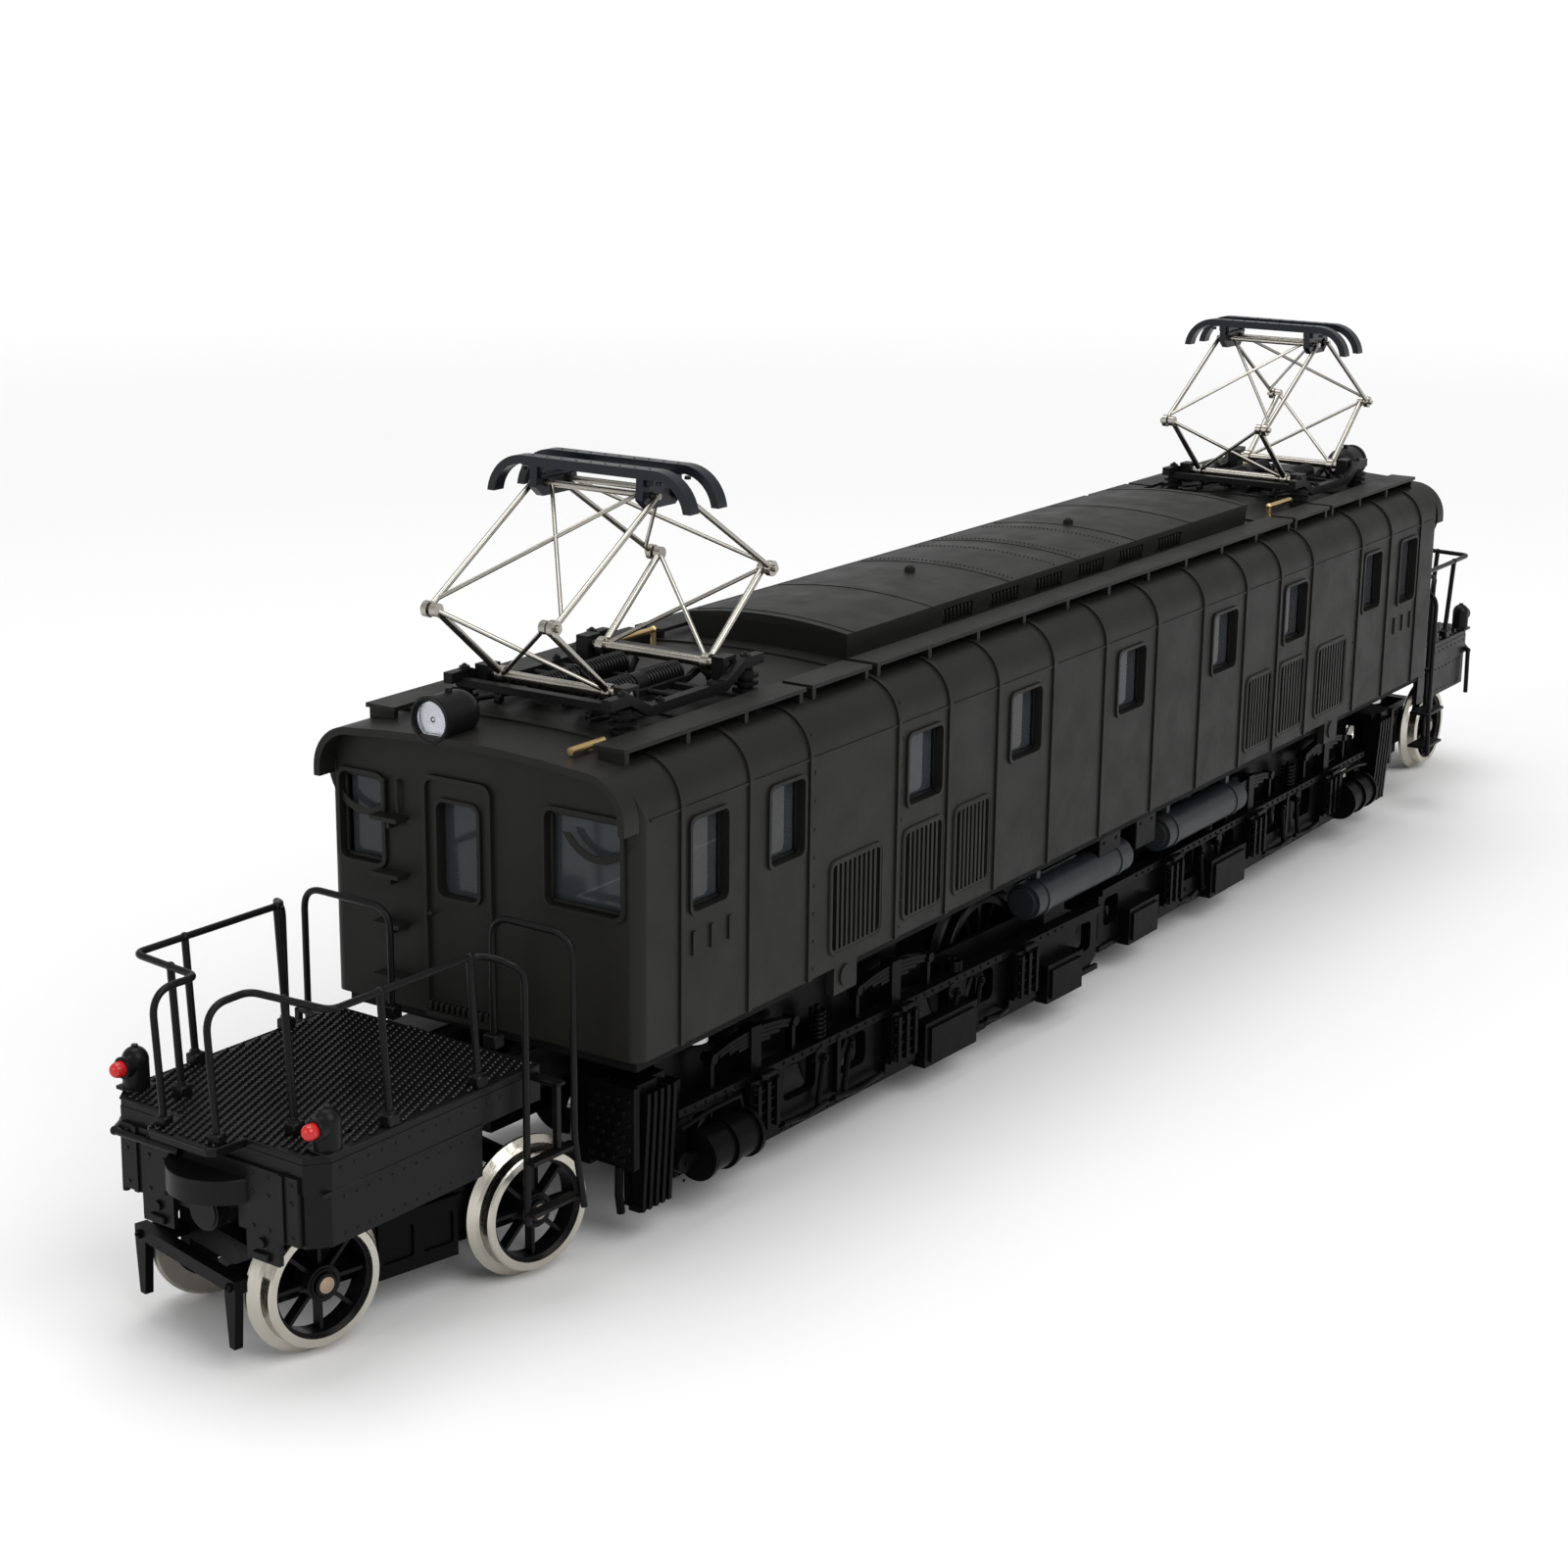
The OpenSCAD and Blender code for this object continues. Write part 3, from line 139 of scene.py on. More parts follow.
def bump(tree, shader, height, distance, below=None):
    """Relief of a depth in metres, on top of another bump if there is one below."""
    node = tree.nodes.new("ShaderNodeBump")
    node.inputs["Distance"].default_value = distance
    node.inputs["Strength"].default_value = 1.0
    tree.links.new(height, node.inputs["Height"])
    if below:
        tree.links.new(below.outputs["Normal"], node.inputs["Normal"])
    tree.links.new(node.outputs["Normal"], shader.inputs["Normal"])
    return node


def shade(colour, k):
    """A colour made darker or lighter."""
    return tuple(c * k for c in colour)


def paint(name, colour, rough, specular=0.5, spread=0.12, grain_depth=0.000006):
    """Sprayed paint on metal or plastic: cloudy colour, fine grain and uneven gloss."""
    clouds, gloss, orange_peel, grain = 60, 240, 420, 2600
    mat, tree, shader = new_material(name)
    tree.links.new(ramp(tree, noise(tree, clouds, 4),
                        [(0.3, shade(colour, 1 - spread)), (0.52, colour),
                         (0.72, shade(colour, 1 + spread))]),
                   shader.inputs["Base Color"])
    tree.links.new(ramp(tree, noise(tree, gloss, 4), [(0.3, rough - 0.06), (0.7, rough + 0.07)]),
                   shader.inputs["Roughness"])
    first = bump(tree, shader, noise(tree, grain, 2), grain_depth)
    bump(tree, shader, noise(tree, orange_peel, 2), grain_depth * 4, first)
    shader.inputs["Specular IOR Level"].default_value = specular
    return mat


def metal(name, colour, rough, streaks=(1, 1, 1), grain=900, grain_depth=0.000004):
    """Bare metal with drawn or turned streaks and a little tarnish."""
    mat, tree, shader = new_material(name)
    shader.inputs["Metallic"].default_value = 1.0
    tarnish = 110
    tree.links.new(ramp(tree, noise(tree, tarnish, 3),
                        [(0.28, shade(colour, 0.82)), (0.5, colour),
                         (0.75, shade(colour, 1.08))]),
                   shader.inputs["Base Color"])
    lines = noise(tree, grain, 3, 0.6, streaks)
    tree.links.new(ramp(tree, lines, [(0.3, rough - 0.05), (0.7, rough + 0.1)]),
                   shader.inputs["Roughness"])
    bump(tree, shader, lines, grain_depth)
    return mat


def clear(name, colour, rough, alpha=1.0, transmission=1.0, specular=0.5):
    """Glass or clear plastic, with a faint film on it."""
    film = 90
    mat, tree, shader = new_material(name)
    shader.inputs["Specular IOR Level"].default_value = specular
    shader.inputs["Base Color"].default_value = (*colour, 1)
    shader.inputs["Transmission Weight"].default_value = transmission
    shader.inputs["IOR"].default_value = 1.45
    tree.links.new(ramp(tree, noise(tree, film, 3), [(0.3, rough), (0.8, rough + 0.06)]),
                   shader.inputs["Roughness"])
    shader.inputs["Alpha"].default_value = alpha
    return mat


BROWN = (0.0098, 0.0095, 0.0088)
BLACK = (0.005, 0.005, 0.0055)
DECK = (0.004, 0.004, 0.0044)
MATERIALS = {
    "body_paint": paint("body_brown", BROWN, 0.46, 0.14, spread=0.07),
    "black_paint": paint("satin_black", BLACK, 0.4, 0.14),
    "chassis_metal": paint("chassis_black", BLACK, 0.6, 0.06),
    "tank_paint": paint("tank_blue_grey", (0.012, 0.0145, 0.017), 0.4, 0.25),
    "frame_black": paint("frame_black", (0.0022, 0.0022, 0.0026), 0.32, 0.05,
                         grain_depth=0.00001),
    "deck_black": paint("deck_black", DECK, 0.34, 0.13),
    "tread_black": paint("tread_black", DECK, 0.26, 0.42),
    "gear_resin": paint("gear_case", (0.05, 0.05, 0.05), 0.6, 0.15),
    "wheel_black": paint("blackened_wheel", (0.0035, 0.0035, 0.0042), 0.32, 0.12),
    "shoe_metal": paint("shoe_blue_black", (0.004, 0.005, 0.009), 0.28, 0.26),
    "brass": metal("brass", (0.62, 0.44, 0.20), 0.32),
    "flywheel_brass": metal("turned_brass", (0.60, 0.46, 0.22), 0.25, (12, 1, 1)),
    "motor_metal": metal("motor_steel", (0.50, 0.50, 0.51), 0.38),
    "nickel_tyre": metal("nickel_tyre", (0.52, 0.49, 0.43), 0.2, (1, 14, 1), 500, 0.000002),
    "nickel_wire": metal("nickel_wire", (0.38, 0.36, 0.32), 0.22, (1, 1, 1), 260, 0.0000004),
    "axle_copper": metal("axle_copper", (0.36, 0.28, 0.21), 0.42),
    "lamp_mirror": metal("lamp_mirror", (0.55, 0.57, 0.60), 0.2),
    "window_glass": clear("window_glass", (0.032, 0.036, 0.040), 0.03, alpha=0.85,
                          transmission=0.0, specular=0.3),
    "lamp_glass": clear("lamp_glass", (0.95, 0.96, 0.98), 0.03),
    "red_lens": clear("red_lens", (0.65, 0.02, 0.02), 0.12, transmission=0.35),
}


def dress_cad_nodes():
    """Each CAD node takes the material that the record's slot names."""
    slots = {s["node"]: s["material_slot"] for s in frame["record"]["subparts"]}
    for name, obj in nodes.items():
        obj.data.materials.clear()
        obj.data.materials.append(MATERIALS[slots[name]])


# ---- piece makers ---------------------------------------------------------------------------

CUBE_FACES = ((0, 3, 2, 1), (4, 5, 6, 7), (0, 1, 5, 4), (1, 2, 6, 5), (2, 3, 7, 6), (3, 0, 4, 7))


def cube_shape(size, bevel):
    """Corners and faces of a block about its centre, with its edges cut at 45 degrees."""
    x, y, z = (v / 2 for v in size)
    if not bevel:
        corners = [(-x, -y, -z), (x, -y, -z), (x, y, -z), (-x, y, -z),
                   (-x, -y, z), (x, -y, z), (x, y, z), (-x, y, z)]
        return corners, CUBE_FACES
    b = min(bevel, x * 0.9, y * 0.9, z * 0.9)
    signs = [(i, j, k) for i in (-1, 1) for j in (-1, 1) for k in (-1, 1)]
    points, index = [], {}
    for s in signs:
        for axis in range(3):
            half = [x - b, y - b, z - b]
            half[axis] += b
            index[(s, axis)] = len(points)
            points.append(tuple(s[n] * half[n] for n in range(3)))
    faces = [tuple(index[(s, axis)] for axis in range(3)) for s in signs]
    for axis in range(3):
        one, two = [n for n in range(3) if n != axis]
        for side in (-1, 1):
            loop = []
            for i, j in ((-1, -1), (1, -1), (1, 1), (-1, 1)):
                s = [0, 0, 0]
                s[axis], s[one], s[two] = side, i, j
                loop.append(index[(tuple(s), axis)])
            faces.append(tuple(loop))
        for i, j in ((-1, -1), (1, -1), (1, 1), (-1, 1)):
            low, high = [0, 0, 0], [0, 0, 0]
            low[axis], low[one], low[two] = -1, i, j
            high[axis], high[one], high[two] = 1, i, j
            low, high = tuple(low), tuple(high)
            faces.append((index[(low, one)], index[(low, two)],
                          index[(high, two)], index[(high, one)]))
    return points, faces


@functools.lru_cache(maxsize=None)
def lathe_shape(profile, sides):
    """Corners and faces of a round shape about Z, from (radius, height) pairs, low to high."""
    points, faces = [], []
    for r, z in profile:
        points += [(r * math.cos(2 * math.pi * k / sides), r * math.sin(2 * math.pi * k / sides), z)
                   for k in range(sides)]
    for ring in range(len(profile) - 1):
        for k in range(sides):
            a, b = ring * sides + k, ring * sides + (k + 1) % sides
            faces.append((a, b, b + sides, a + sides))
    faces.append(tuple(reversed(range(sides))))
    faces.append(tuple(range((len(profile) - 1) * sides, len(profile) * sides)))
    return points, faces


def towards(direction):
    """Turn that takes Z to a direction."""
    return Vector(direction).to_track_quat("Z", "Y").to_matrix().to_4x4()


def rounded(corners, radius, steps=6):
    """Points of a path with its corners rounded."""
    corners = [Vector(c) for c in corners]
    path = [corners[0]]
    for a, b, c in zip(corners, corners[1:], corners[2:]):
        start = b + (a - b).normalized() * min(radius, (a - b).length * 0.49)
        end = b + (c - b).normalized() * min(radius, (c - b).length * 0.49)
        for i in range(steps + 1):
            t = i / steps
            path.append(start * (1 - t) ** 2 + b * (2 * t * (1 - t)) + end * t * t)
    return path + [corners[-1]]


DOME = ((1.0, -0.3), (1.0, 0.0), (0.86, 0.5), (0.5, 0.86), (0.12, 0.99))


class Builder:
    """Collects many small shapes, in millimetres in one frame of reference, into one piece."""

    def __init__(self, place):
        self.place = place
        self.points = []
        self.faces = []

    def add(self, shape, matrix):
        """Add corners and faces, moved by a matrix."""
        base = len(self.points)
        points, faces = shape
        self.points += [matrix @ Vector(p) for p in points]
        self.faces += [tuple(base + n for n in face) for face in faces]

    def box(self, low, high, bevel=0.0, turn=0.0):
        """Block between two corners, with its edges cut, turned about its own Z."""
        low, high = Vector(low), Vector(high)
        self.add(cube_shape(high - low, bevel),
                 Matrix.Translation((low + high) / 2) @ Matrix.Rotation(turn, 4, "Z"))

    def beam(self, a, b, width, height, bevel=0.0):
        """Square bar from a to b."""
        a, b = Vector(a), Vector(b)
        self.add(cube_shape((width, height, (b - a).length), bevel),
                 Matrix.Translation((a + b) / 2) @ towards(b - a))

    def rod(self, a, b, r, sides=12, r2=None):
        """Round rod from a to b."""
        a, b = Vector(a), Vector(b)
        shape = lathe_shape(((r, 0), (r if r2 is None else r2, (b - a).length)), sides)
        self.add(shape, Matrix.Translation(a) @ towards(b - a))

    def path(self, points, r, sides=10):
        """Rod through several points with round joints."""
        for a, b in zip(points, points[1:]):
            self.rod(a, b, r, sides)
        for p in points[1:-1]:
            self.ball(p, r * 1.02, sides)

    def tube(self, path, r, sides=10):
        """Round wire along a smooth path."""
        points, faces = [], []
        normal = (path[1] - path[0]).orthogonal().normalized()
        for i, p in enumerate(path):
            forward = (path[min(i + 1, len(path) - 1)] - path[max(i - 1, 0)]).normalized()
            normal = (normal - forward * normal.dot(forward)).normalized()
            across = forward.cross(normal)
            points += [p + r * (math.cos(2 * math.pi * k / sides) * normal
                                + math.sin(2 * math.pi * k / sides) * across)
                       for k in range(sides)]
        for i in range(len(path) - 1):
            for k in range(sides):
                one, two = i * sides + k, i * sides + (k + 1) % sides
                faces.append((one, two, two + sides, one + sides))
        faces.append(tuple(reversed(range(sides))))
        faces.append(tuple(range(len(points) - sides, len(points))))
        self.add((points, faces), Matrix.Identity(4))

    def ball(self, at, r, sides=10):
        """Round ball, with small flats at its poles."""
        rings = max(sides // 2, 5)
        profile = tuple((math.sin(math.pi * (i + 0.15) / (rings + 0.3)),
                         -math.cos(math.pi * (i + 0.15) / (rings + 0.3)))
                        for i in range(rings + 1))
        self.add(lathe_shape(profile, sides), Matrix.Translation(at) @ Matrix.Scale(r, 4))

    def rivet(self, at, normal, r=0.22, proud=0.14):
        """Domed rivet head on a surface."""
        self.add(lathe_shape(DOME, 10), Matrix.Translation(at) @ towards(normal)
                 @ Matrix.Diagonal((r, r, proud, 1)))

    def hex_nut(self, at, normal, r=0.5, h=0.4):
        """Hexagon nut with the domed end of its bolt."""
        normal = Vector(normal).normalized()
        self.rod(Vector(at), Vector(at) + normal * h, r, 6, r * 0.9)
        self.rivet(Vector(at) + normal * h, normal, r * 0.5, r * 0.45)

    def ring(self, at, r, wire, across=(0, 1, 0), sides=32, thick=8):
        """Round ring about a direction."""
        points, faces = [], []
        for i in range(sides):
            a = 2 * math.pi * i / sides
            for k in range(thick):
                b = 2 * math.pi * k / thick
                out = r + wire * math.cos(b)
                points.append((out * math.cos(a), out * math.sin(a), wire * math.sin(b)))
                here, after = i * thick, ((i + 1) % sides) * thick
                faces.append((here + k, after + k, after + (k + 1) % thick,
                              here + (k + 1) % thick))
        self.add((points, faces), Matrix.Translation(at) @ towards(across))

    def coil(self, a, b, r, wire, turns):
        """Coil spring between two points."""
        a, b = Vector(a), Vector(b)
        length = (b - a).length
        sides, per_turn = 6, 10
        steps = turns * per_turn
        points, faces = [], []
        for i in range(steps + 1):
            angle = 2 * math.pi * i / per_turn
            out = Vector((math.cos(angle), math.sin(angle), 0))
            centre = out * r + Vector((0, 0, length * i / steps))
            for k in range(sides):
                t = 2 * math.pi * k / sides
                points.append(centre + out * wire * math.cos(t)
                              + Vector((0, 0, wire * math.sin(t))))
        for i in range(steps):
            for k in range(sides):
                one, two = i * sides + k, i * sides + (k + 1) % sides
                faces.append((one, two, two + sides, one + sides))
        faces.append(tuple(reversed(range(sides))))
        faces.append(tuple(range(steps * sides, (steps + 1) * sides)))
        self.add((points, faces), Matrix.Translation(a) @ towards(b - a))

    def finish(self, name, material, body, slot=None, smooth_angle=40):
        """Make the piece, which rides on a body. The slot argument is not used."""
        mesh = bpy.data.meshes.new(name)
        mesh.from_pydata([self.place @ p for p in self.points], [], self.faces)
        bm = bmesh.new()
        bm.from_mesh(mesh)
        bmesh.ops.recalc_face_normals(bm, faces=bm.faces)
        bm.to_mesh(mesh)
        bm.free()
        mesh.shade_smooth()
        mesh.set_sharp_from_angle(angle=math.radians(smooth_angle))
        mesh.materials.append(MATERIALS[material])
        obj = bpy.data.objects.new(name, mesh)
        bpy.context.scene.collection.objects.link(obj)
        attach(obj, body)
        return obj


# ---- body detail ----------------------------------------------------------------------------

HALF_W = 17.5  # from the middle to a side wall's face
END_X = -92.5  # the near end wall's face
GUTTER = 41.3  # top of the side walls
SHOULDER = 4.3  # radius between a side wall and the roof
ROOF_RISE = 0.7  # of the roof's crown above its shoulders
RIVETED_SEAMS = (49.9, 65.6)
LOUVRES = ((57.4, 25.6, 9.2, 9.2, 10),  # place along, height of the middle, width, height, slats
           (44.9, 25.6, 7.6, 9.2, 8),
           (35.1, 25.6, 7.2, 9.2, 8))
END_WINDOWS = ((-11.7, 36.8, 8.2, 8.6), (13.5, 36.8, 5, 8.2))  # middle across and up, size
SIDE_WINDOWS = ((82, 35.6, 5.6, 8.4), (69.6, 36.1, 5.6, 7.4), (44.9, 36.2, 6.4, 7),
                (24.3, 36.2, 6.4, 7))
MIDDLE_WINDOW = (0, 36.2, 6.4, 7)
MONITOR_TOP, MONITOR_R = 49.4, 56.8  # crown of the long roof ventilator's cover
LAMP_Y, LAMP_Z = 3.7, 47.6  # middle of a headlight


def roof_z(y):
    """Height of the roof over a place across it."""
    chord = HALF_W - SHOULDER
    radius = (chord ** 2 + ROOF_RISE ** 2) / (2 * ROOF_RISE)
    if abs(y) <= chord:
        return GUTTER + SHOULDER + ROOF_RISE - radius + math.sqrt(radius ** 2 - y * y)
    return GUTTER + math.sqrt(max(SHOULDER ** 2 - (abs(y) - chord) ** 2, 0))


def roof_normal(y):
    """Direction straight out of the roof over a place across it."""
    step = 0.05
    return Vector((0, roof_z(y - step) - roof_z(y + step), 2 * step)).normalized()


def body_rivets():
    """A column of rivets beside two of the seams, on towards the roof's shoulder, drawn black as painted shade
    round each head.
    """
    made = Builder(body_place())
    beside, lowest, pitch = 0.75, 20.5, 2.75
    for x in [s * (seam - beside) for s in SIDES for seam in RIVETED_SEAMS]:
        for side in SIDES:
            for i in range(8):
                made.rivet((x, side * HALF_W, lowest + i * pitch), (0, side, 0), 0.2, 0.14)
            for i in range(3):
                y = side * (17.0 - i * 2.0)
                made.rivet((x, y, roof_z(y)), roof_normal(y), 0.2, 0.14)
    # The black paint on these rivets is painted shade: it stands for the shade round their heads on the brown
    # body, not their own colour.
    made.finish("body_rivets", "black_paint", "body", "body_paint")


def louvre_detail():
    """Black blocks in the spaces between the louvres' slats, as painted shade, and a rounded rim round each
    louvre.
    """
    gap_shade, rims = Builder(body_place()), Builder(body_place())
    for x, z, w, h, slats in LOUVRES:
        pitch = (w - 0.8) / slats
        edges = [-w / 2 + 0.36] + [-w / 2 + 0.4 + i * pitch + k * 0.2
                                   for i in range(1, slats) for k in SIDES] + [w / 2 - 0.36]
        for s, side in ((s, side) for s in SIDES for side in SIDES):
            y0, y1 = sorted((side * 17.0, side * 17.22))
            for low, high in zip(edges[::2], edges[1::2]):
                # Black blocks between the slats are painted shade, standing in for the dark openings behind them.
                gap_shade.box((s * x + low, y0, z - h / 2 + 0.36), (s * x + high, y1, z + h / 2 - 0.36))
            a, c = w / 2 + 0.05, h / 2 + 0.05
            loop = [(s * x + i * a, side * 17.52, z + k * c)
                    for i, k in ((0, 1), (1, 1), (1, -1), (-1, -1), (-1, 1), (0, 1))]
            rims.tube(rounded(loop, 1.1), 0.2)
    gap_shade.finish("louvre_gap_shade", "black_paint", "body")
    rims.finish("louvre_rims", "body_paint", "body")


def tank_brackets():
    """Black boxes between the air tanks."""
    for end in ENDS:
        made = Builder(body_end_place(end))
        made.box((-3.1, -16.1, 15.8), (2.1, -12.9, 18.3), 0.1)
        made.box((6.5, -15.9, 14.5), (11.5, -9.5, 18.3), 0.1)
        for x in (-2, 1, 7.6, 10.4):
            made.rivet((x, -16.08 if x < 5 else -15.88, 17.4), (0, -1, 0), 0.25, 0.15)
        made.finish(f"tank_brackets_{end}", "frame_black", "body")


def monitor_z(y):
    """Height of the long roof ventilator's cover over a place across it."""
    return MONITOR_TOP - MONITOR_R + math.sqrt(MONITOR_R ** 2 - y * y)


def monitor_detail():
    """Rivet rows, cover seams, side louvres and lifting studs on the long roof ventilator."""
    made = Builder(body_place())
    rivets, rivet_row = 34, 17.8
    for x in (-12.5, -3, 3, 12.5):
        for i in range(rivets):
            y = -rivet_row / 2 + i * rivet_row / (rivets - 1)
            made.rivet((x, y, monitor_z(y)), (0, y / 57, 1), 0.14, 0.09)
    steps, cover = 12, 18.9
    for x in (-45.6, -30.5, -14, 1.5, 16, 30.5, 45.6):
        for i in range(steps):
            y0 = -cover / 2 + i * cover / steps
            y1 = y0 + cover / steps
            made.beam((x, y0, monitor_z(y0)), (x, y1, monitor_z(y1)), 0.16, 0.12)
    for x in (-19.2, 17.1):
        made.rod((x, 0, 49.3), (x, 0, 49.9), 0.6, 20)
        made.rivet((x, 0, 49.9), (0, 0, 1), 0.45, 0.25)
    first, spacing, slat_pitch = -25, 10, 0.78
    for side in SIDES:
        for i in range(6):
            x = first + spacing * i
            for dx in (-3.5, 3.5):
                made.rivet((x + dx, side * 9.38, 47.0), (0, side, 0.1), 0.14, 0.1)
            for k in range(8):
                made.box((x - 2.9 + slat_pitch * k, side * 9.05 - 0.3, 46.5),
                         (x - 2.6 + slat_pitch * k, side * 9.05 + 0.3, 47.8), 0.08)
    made.finish("monitor_detail", "body_paint", "body")


def cab_end_detail():
    """Sill ribs, hinges, knobs and window frame lips on both end walls."""
    for end in ENDS:
        made = Builder(body_end_place(end))
        for i in range(11):
            y = -0.9 + i * 0.64
            made.box((-93.15, y - 0.14, 20.1), (-92.4, y + 0.14, 20.9), 0.04)
        for z in (24, 30, 37):
            made.rod((END_X - 0.25, -1.3, z - 0.5), (END_X - 0.25, -1.3, z + 0.5), 0.2)
        made.ball((-92.95, 5.35, 29.2), 0.26, 12)
        for z in (22.5, 27.5, 32.2, 37.5):
            for y in (8.6, 11):
                made.rivet((END_X, y, z - 0.5), (-1, 0, 0), 0.15, 0.12)
        for y, z, w, h in END_WINDOWS:
            for s in SIDES:
                made.box((-92.2, y + s * (w / 2 - 0.28) - 0.16, z - h / 2 + 0.1),
                         (-91.9, y + s * (w / 2 - 0.28) + 0.16, z + h / 2 - 0.1), 0.03)
                made.box((-92.2, y - w / 2 + 0.2, z + s * (h / 2 - 0.28) - 0.16),
                         (-91.9, y + w / 2 - 0.2, z + s * (h / 2 - 0.28) + 0.16), 0.03)
        made.finish(f"cab_end_detail_{end}", "body_paint", "body")


def side_window_sashes():
    """Black sash behind each side window's opening."""
    made = Builder(body_place())
    windows = [(s * x, z, w, h) for x, z, w, h in SIDE_WINDOWS for s in SIDES]
    for x, z, w, h in windows + [MIDDLE_WINDOW]:
        for side in SIDES:
            y0, y1 = sorted((side * 16.62, side * 16.9))
            for s in SIDES:
                made.box((x + s * (w / 2 - 0.22) - 0.2, y0, z - h / 2 + 0.05),
                         (x + s * (w / 2 - 0.22) + 0.2, y1, z + h / 2 - 0.05), 0.03)
                made.box((x - w / 2 + 0.05, y0, z + s * (h / 2 - 0.22) - 0.2),
                         (x + w / 2 - 0.05, y1, z + s * (h / 2 - 0.22) + 0.2), 0.03)
    made.finish("window_sashes", "black_paint", "body")


def headlight_detail():
    """Reflector bowl, bulb and rim inside each headlamp."""
    radius, depth, rings, sides = 1.66, 0.75, 8, 32
    bowl = tuple((radius * (i + 1) / rings, depth * ((i + 1) / rings) ** 2) for i in range(rings))
    outward = towards((-1, 0, 0))
    for end in ENDS:
        made = Builder(body_end_place(end))
        made.add(lathe_shape(((radius, -0.3), (radius, 0.5)), sides),
                 Matrix.Translation((-92.85, LAMP_Y, LAMP_Z)) @ outward)
        made.add(lathe_shape(bowl, sides), Matrix.Translation((-93.12, LAMP_Y, LAMP_Z)) @ outward)
        made.ball((-93.6, LAMP_Y, LAMP_Z), 0.4, 12)
        made.finish(f"headlight_reflector_{end}", "lamp_mirror", "body", "lamp_glass")
        hood = Builder(body_end_place(end))
        hood.ring((-94.45, LAMP_Y, LAMP_Z), 2.0, 0.16, (1, 0, 0), 40)
        hood.rod((-91.8, LAMP_Y, LAMP_Z + 2.0), (-91.8, LAMP_Y, LAMP_Z + 2.5), 0.35, 12)
        hood.finish(f"headlight_rim_{end}", "black_paint", "body")


# ---- trucks and decks -----------------------------------------------------------------------

DECK_Z = 19.7  # top of the deck plate
DECK_HALF_W = 12.0
RAIL_POSTS = ((-121, 6.6), (-115, 11.4), (-104.2, 11.4))
DRIVING_AXLES = (-67.5, -43.5, -19.5)
PILOT_AXLE_X, PILOT_AXLE_Z = 11.2, 5.6


def deck_edge(x):
    """Half the deck's width at a place along it, in a truck's own frame."""
    if x < -124.2:
        return 4.1
    if x < -122.4:
        return DECK_HALF_W - 1.4 * (-122.4 - x) / 1.8
    return DECK_HALF_W


def checker_plate(end):
    """Diagonal ridges of small slanted treads across the whole deck."""
    made = Builder(truck_place(end))
    ridge, tread = math.radians(22), math.radians(-18)
    along = Vector((math.cos(ridge), math.sin(ridge)))
    across = Vector((-along.y, along.x))
    spacing, pitch = 0.74, 0.68
    middle = Vector((-112.4, 0))
    shape = cube_shape((0.6, 0.32, 0.5), 0.12)
    for row in range(-34, 35):
        for place in range(-34, 35):
            at = middle + across * row * spacing + along * (place + (row % 2) / 2) * pitch
            if -127.2 < at.x < -97.4 and abs(at.y) < deck_edge(at.x - 0.3) - 0.35:
                made.add(shape, Matrix.Translation((at.x, at.y, 19.72))
                         @ Matrix.Rotation(ridge + tread, 4, "Z"))
    made.finish(f"checker_plate_{end}", "tread_black", f"main_truck_{end}", "deck_black", 20)


def deck_rails(end):
    """Handrails, cab hoops and steps of one deck, in smoothly bent wire."""
    made = Builder(truck_place(end))
    wire, bend, top, lean, bottom = 0.32, 1.1, 31.1, 0.7, 6.8
    for side, hoop_top, outer in ((1, 30, 16.8), (-1, 31.8, 15.2)):
        rail = [(-126.2, side * 3.1, DECK_Z), (-126.2, side * 3.1 + lean, top - 1.2),
                (-125, side * 3.1 + lean, top), (-121.4, side * 3 + lean, top),
                (-120.6, side * 11.4 + lean, top), (-103.4, side * 11.4 + lean, top),
                (-102.6, side * 13.6 + lean * 0.6, top - 0.2), (-101.4, side * 14.3, top - 1.2),
                (-101.4, side * 14.3, bottom)]
        made.tube(rounded(rail, bend), wire)
        x = -96.2
        hoop = [(x, side * 6.1, DECK_Z), (x, side * 6.1, hoop_top - 1.1),
                (x, side * 7.2, hoop_top), (x, side * (outer - 1.1), hoop_top),
                (x, side * outer, hoop_top - 1.1), (x, side * outer, 13.4),
                (x + 0.7, side * (outer + 0.5), bottom)]
        made.tube(rounded(hoop, bend), wire)
        for x, y in RAIL_POSTS:
            made.rod((x, side * y, DECK_Z), (x, side * y + lean, top), 0.34)
            made.box((x - 0.7, side * y - 0.6, DECK_Z),
                     (x + 0.7, side * y + 0.6, DECK_Z + 1.1), 0.15)
            made.ball((x, side * y + lean, top), 0.42, 12)
        made.box((-126.8, side * 3.1 - 0.6, DECK_Z), (-125.6, side * 3.1 + 0.6, DECK_Z + 0.9), 0.15)
        for low, high in (((-96.9, 5.4, DECK_Z), (-95.6, 6.8, DECK_Z + 1.2)),
                          ((-101.7, 14.2, 12.4), (-95.7, outer + 0.2, 12.8)),
                          ((-101.7, 14.2, 7.6), (-95.7, outer + 0.2, 8.0)),
                          ((-98.2, 12.07, DECK_Z - 1.2), (-97, outer - 0.2, DECK_Z - 0.8)),
                          ((-98.2, outer - 0.8, 12.4), (-97.6, outer - 0.2, DECK_Z - 0.8))):
            y0, y1 = sorted((side * low[1], side * high[1]))
            made.box((low[0], y0, low[2]), (high[0], y1, high[2]), 0.08)
    piece = made.finish(f"rails_{end}", "deck_black", f"main_truck_{end}")
    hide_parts(f"deck_rails_{end}")


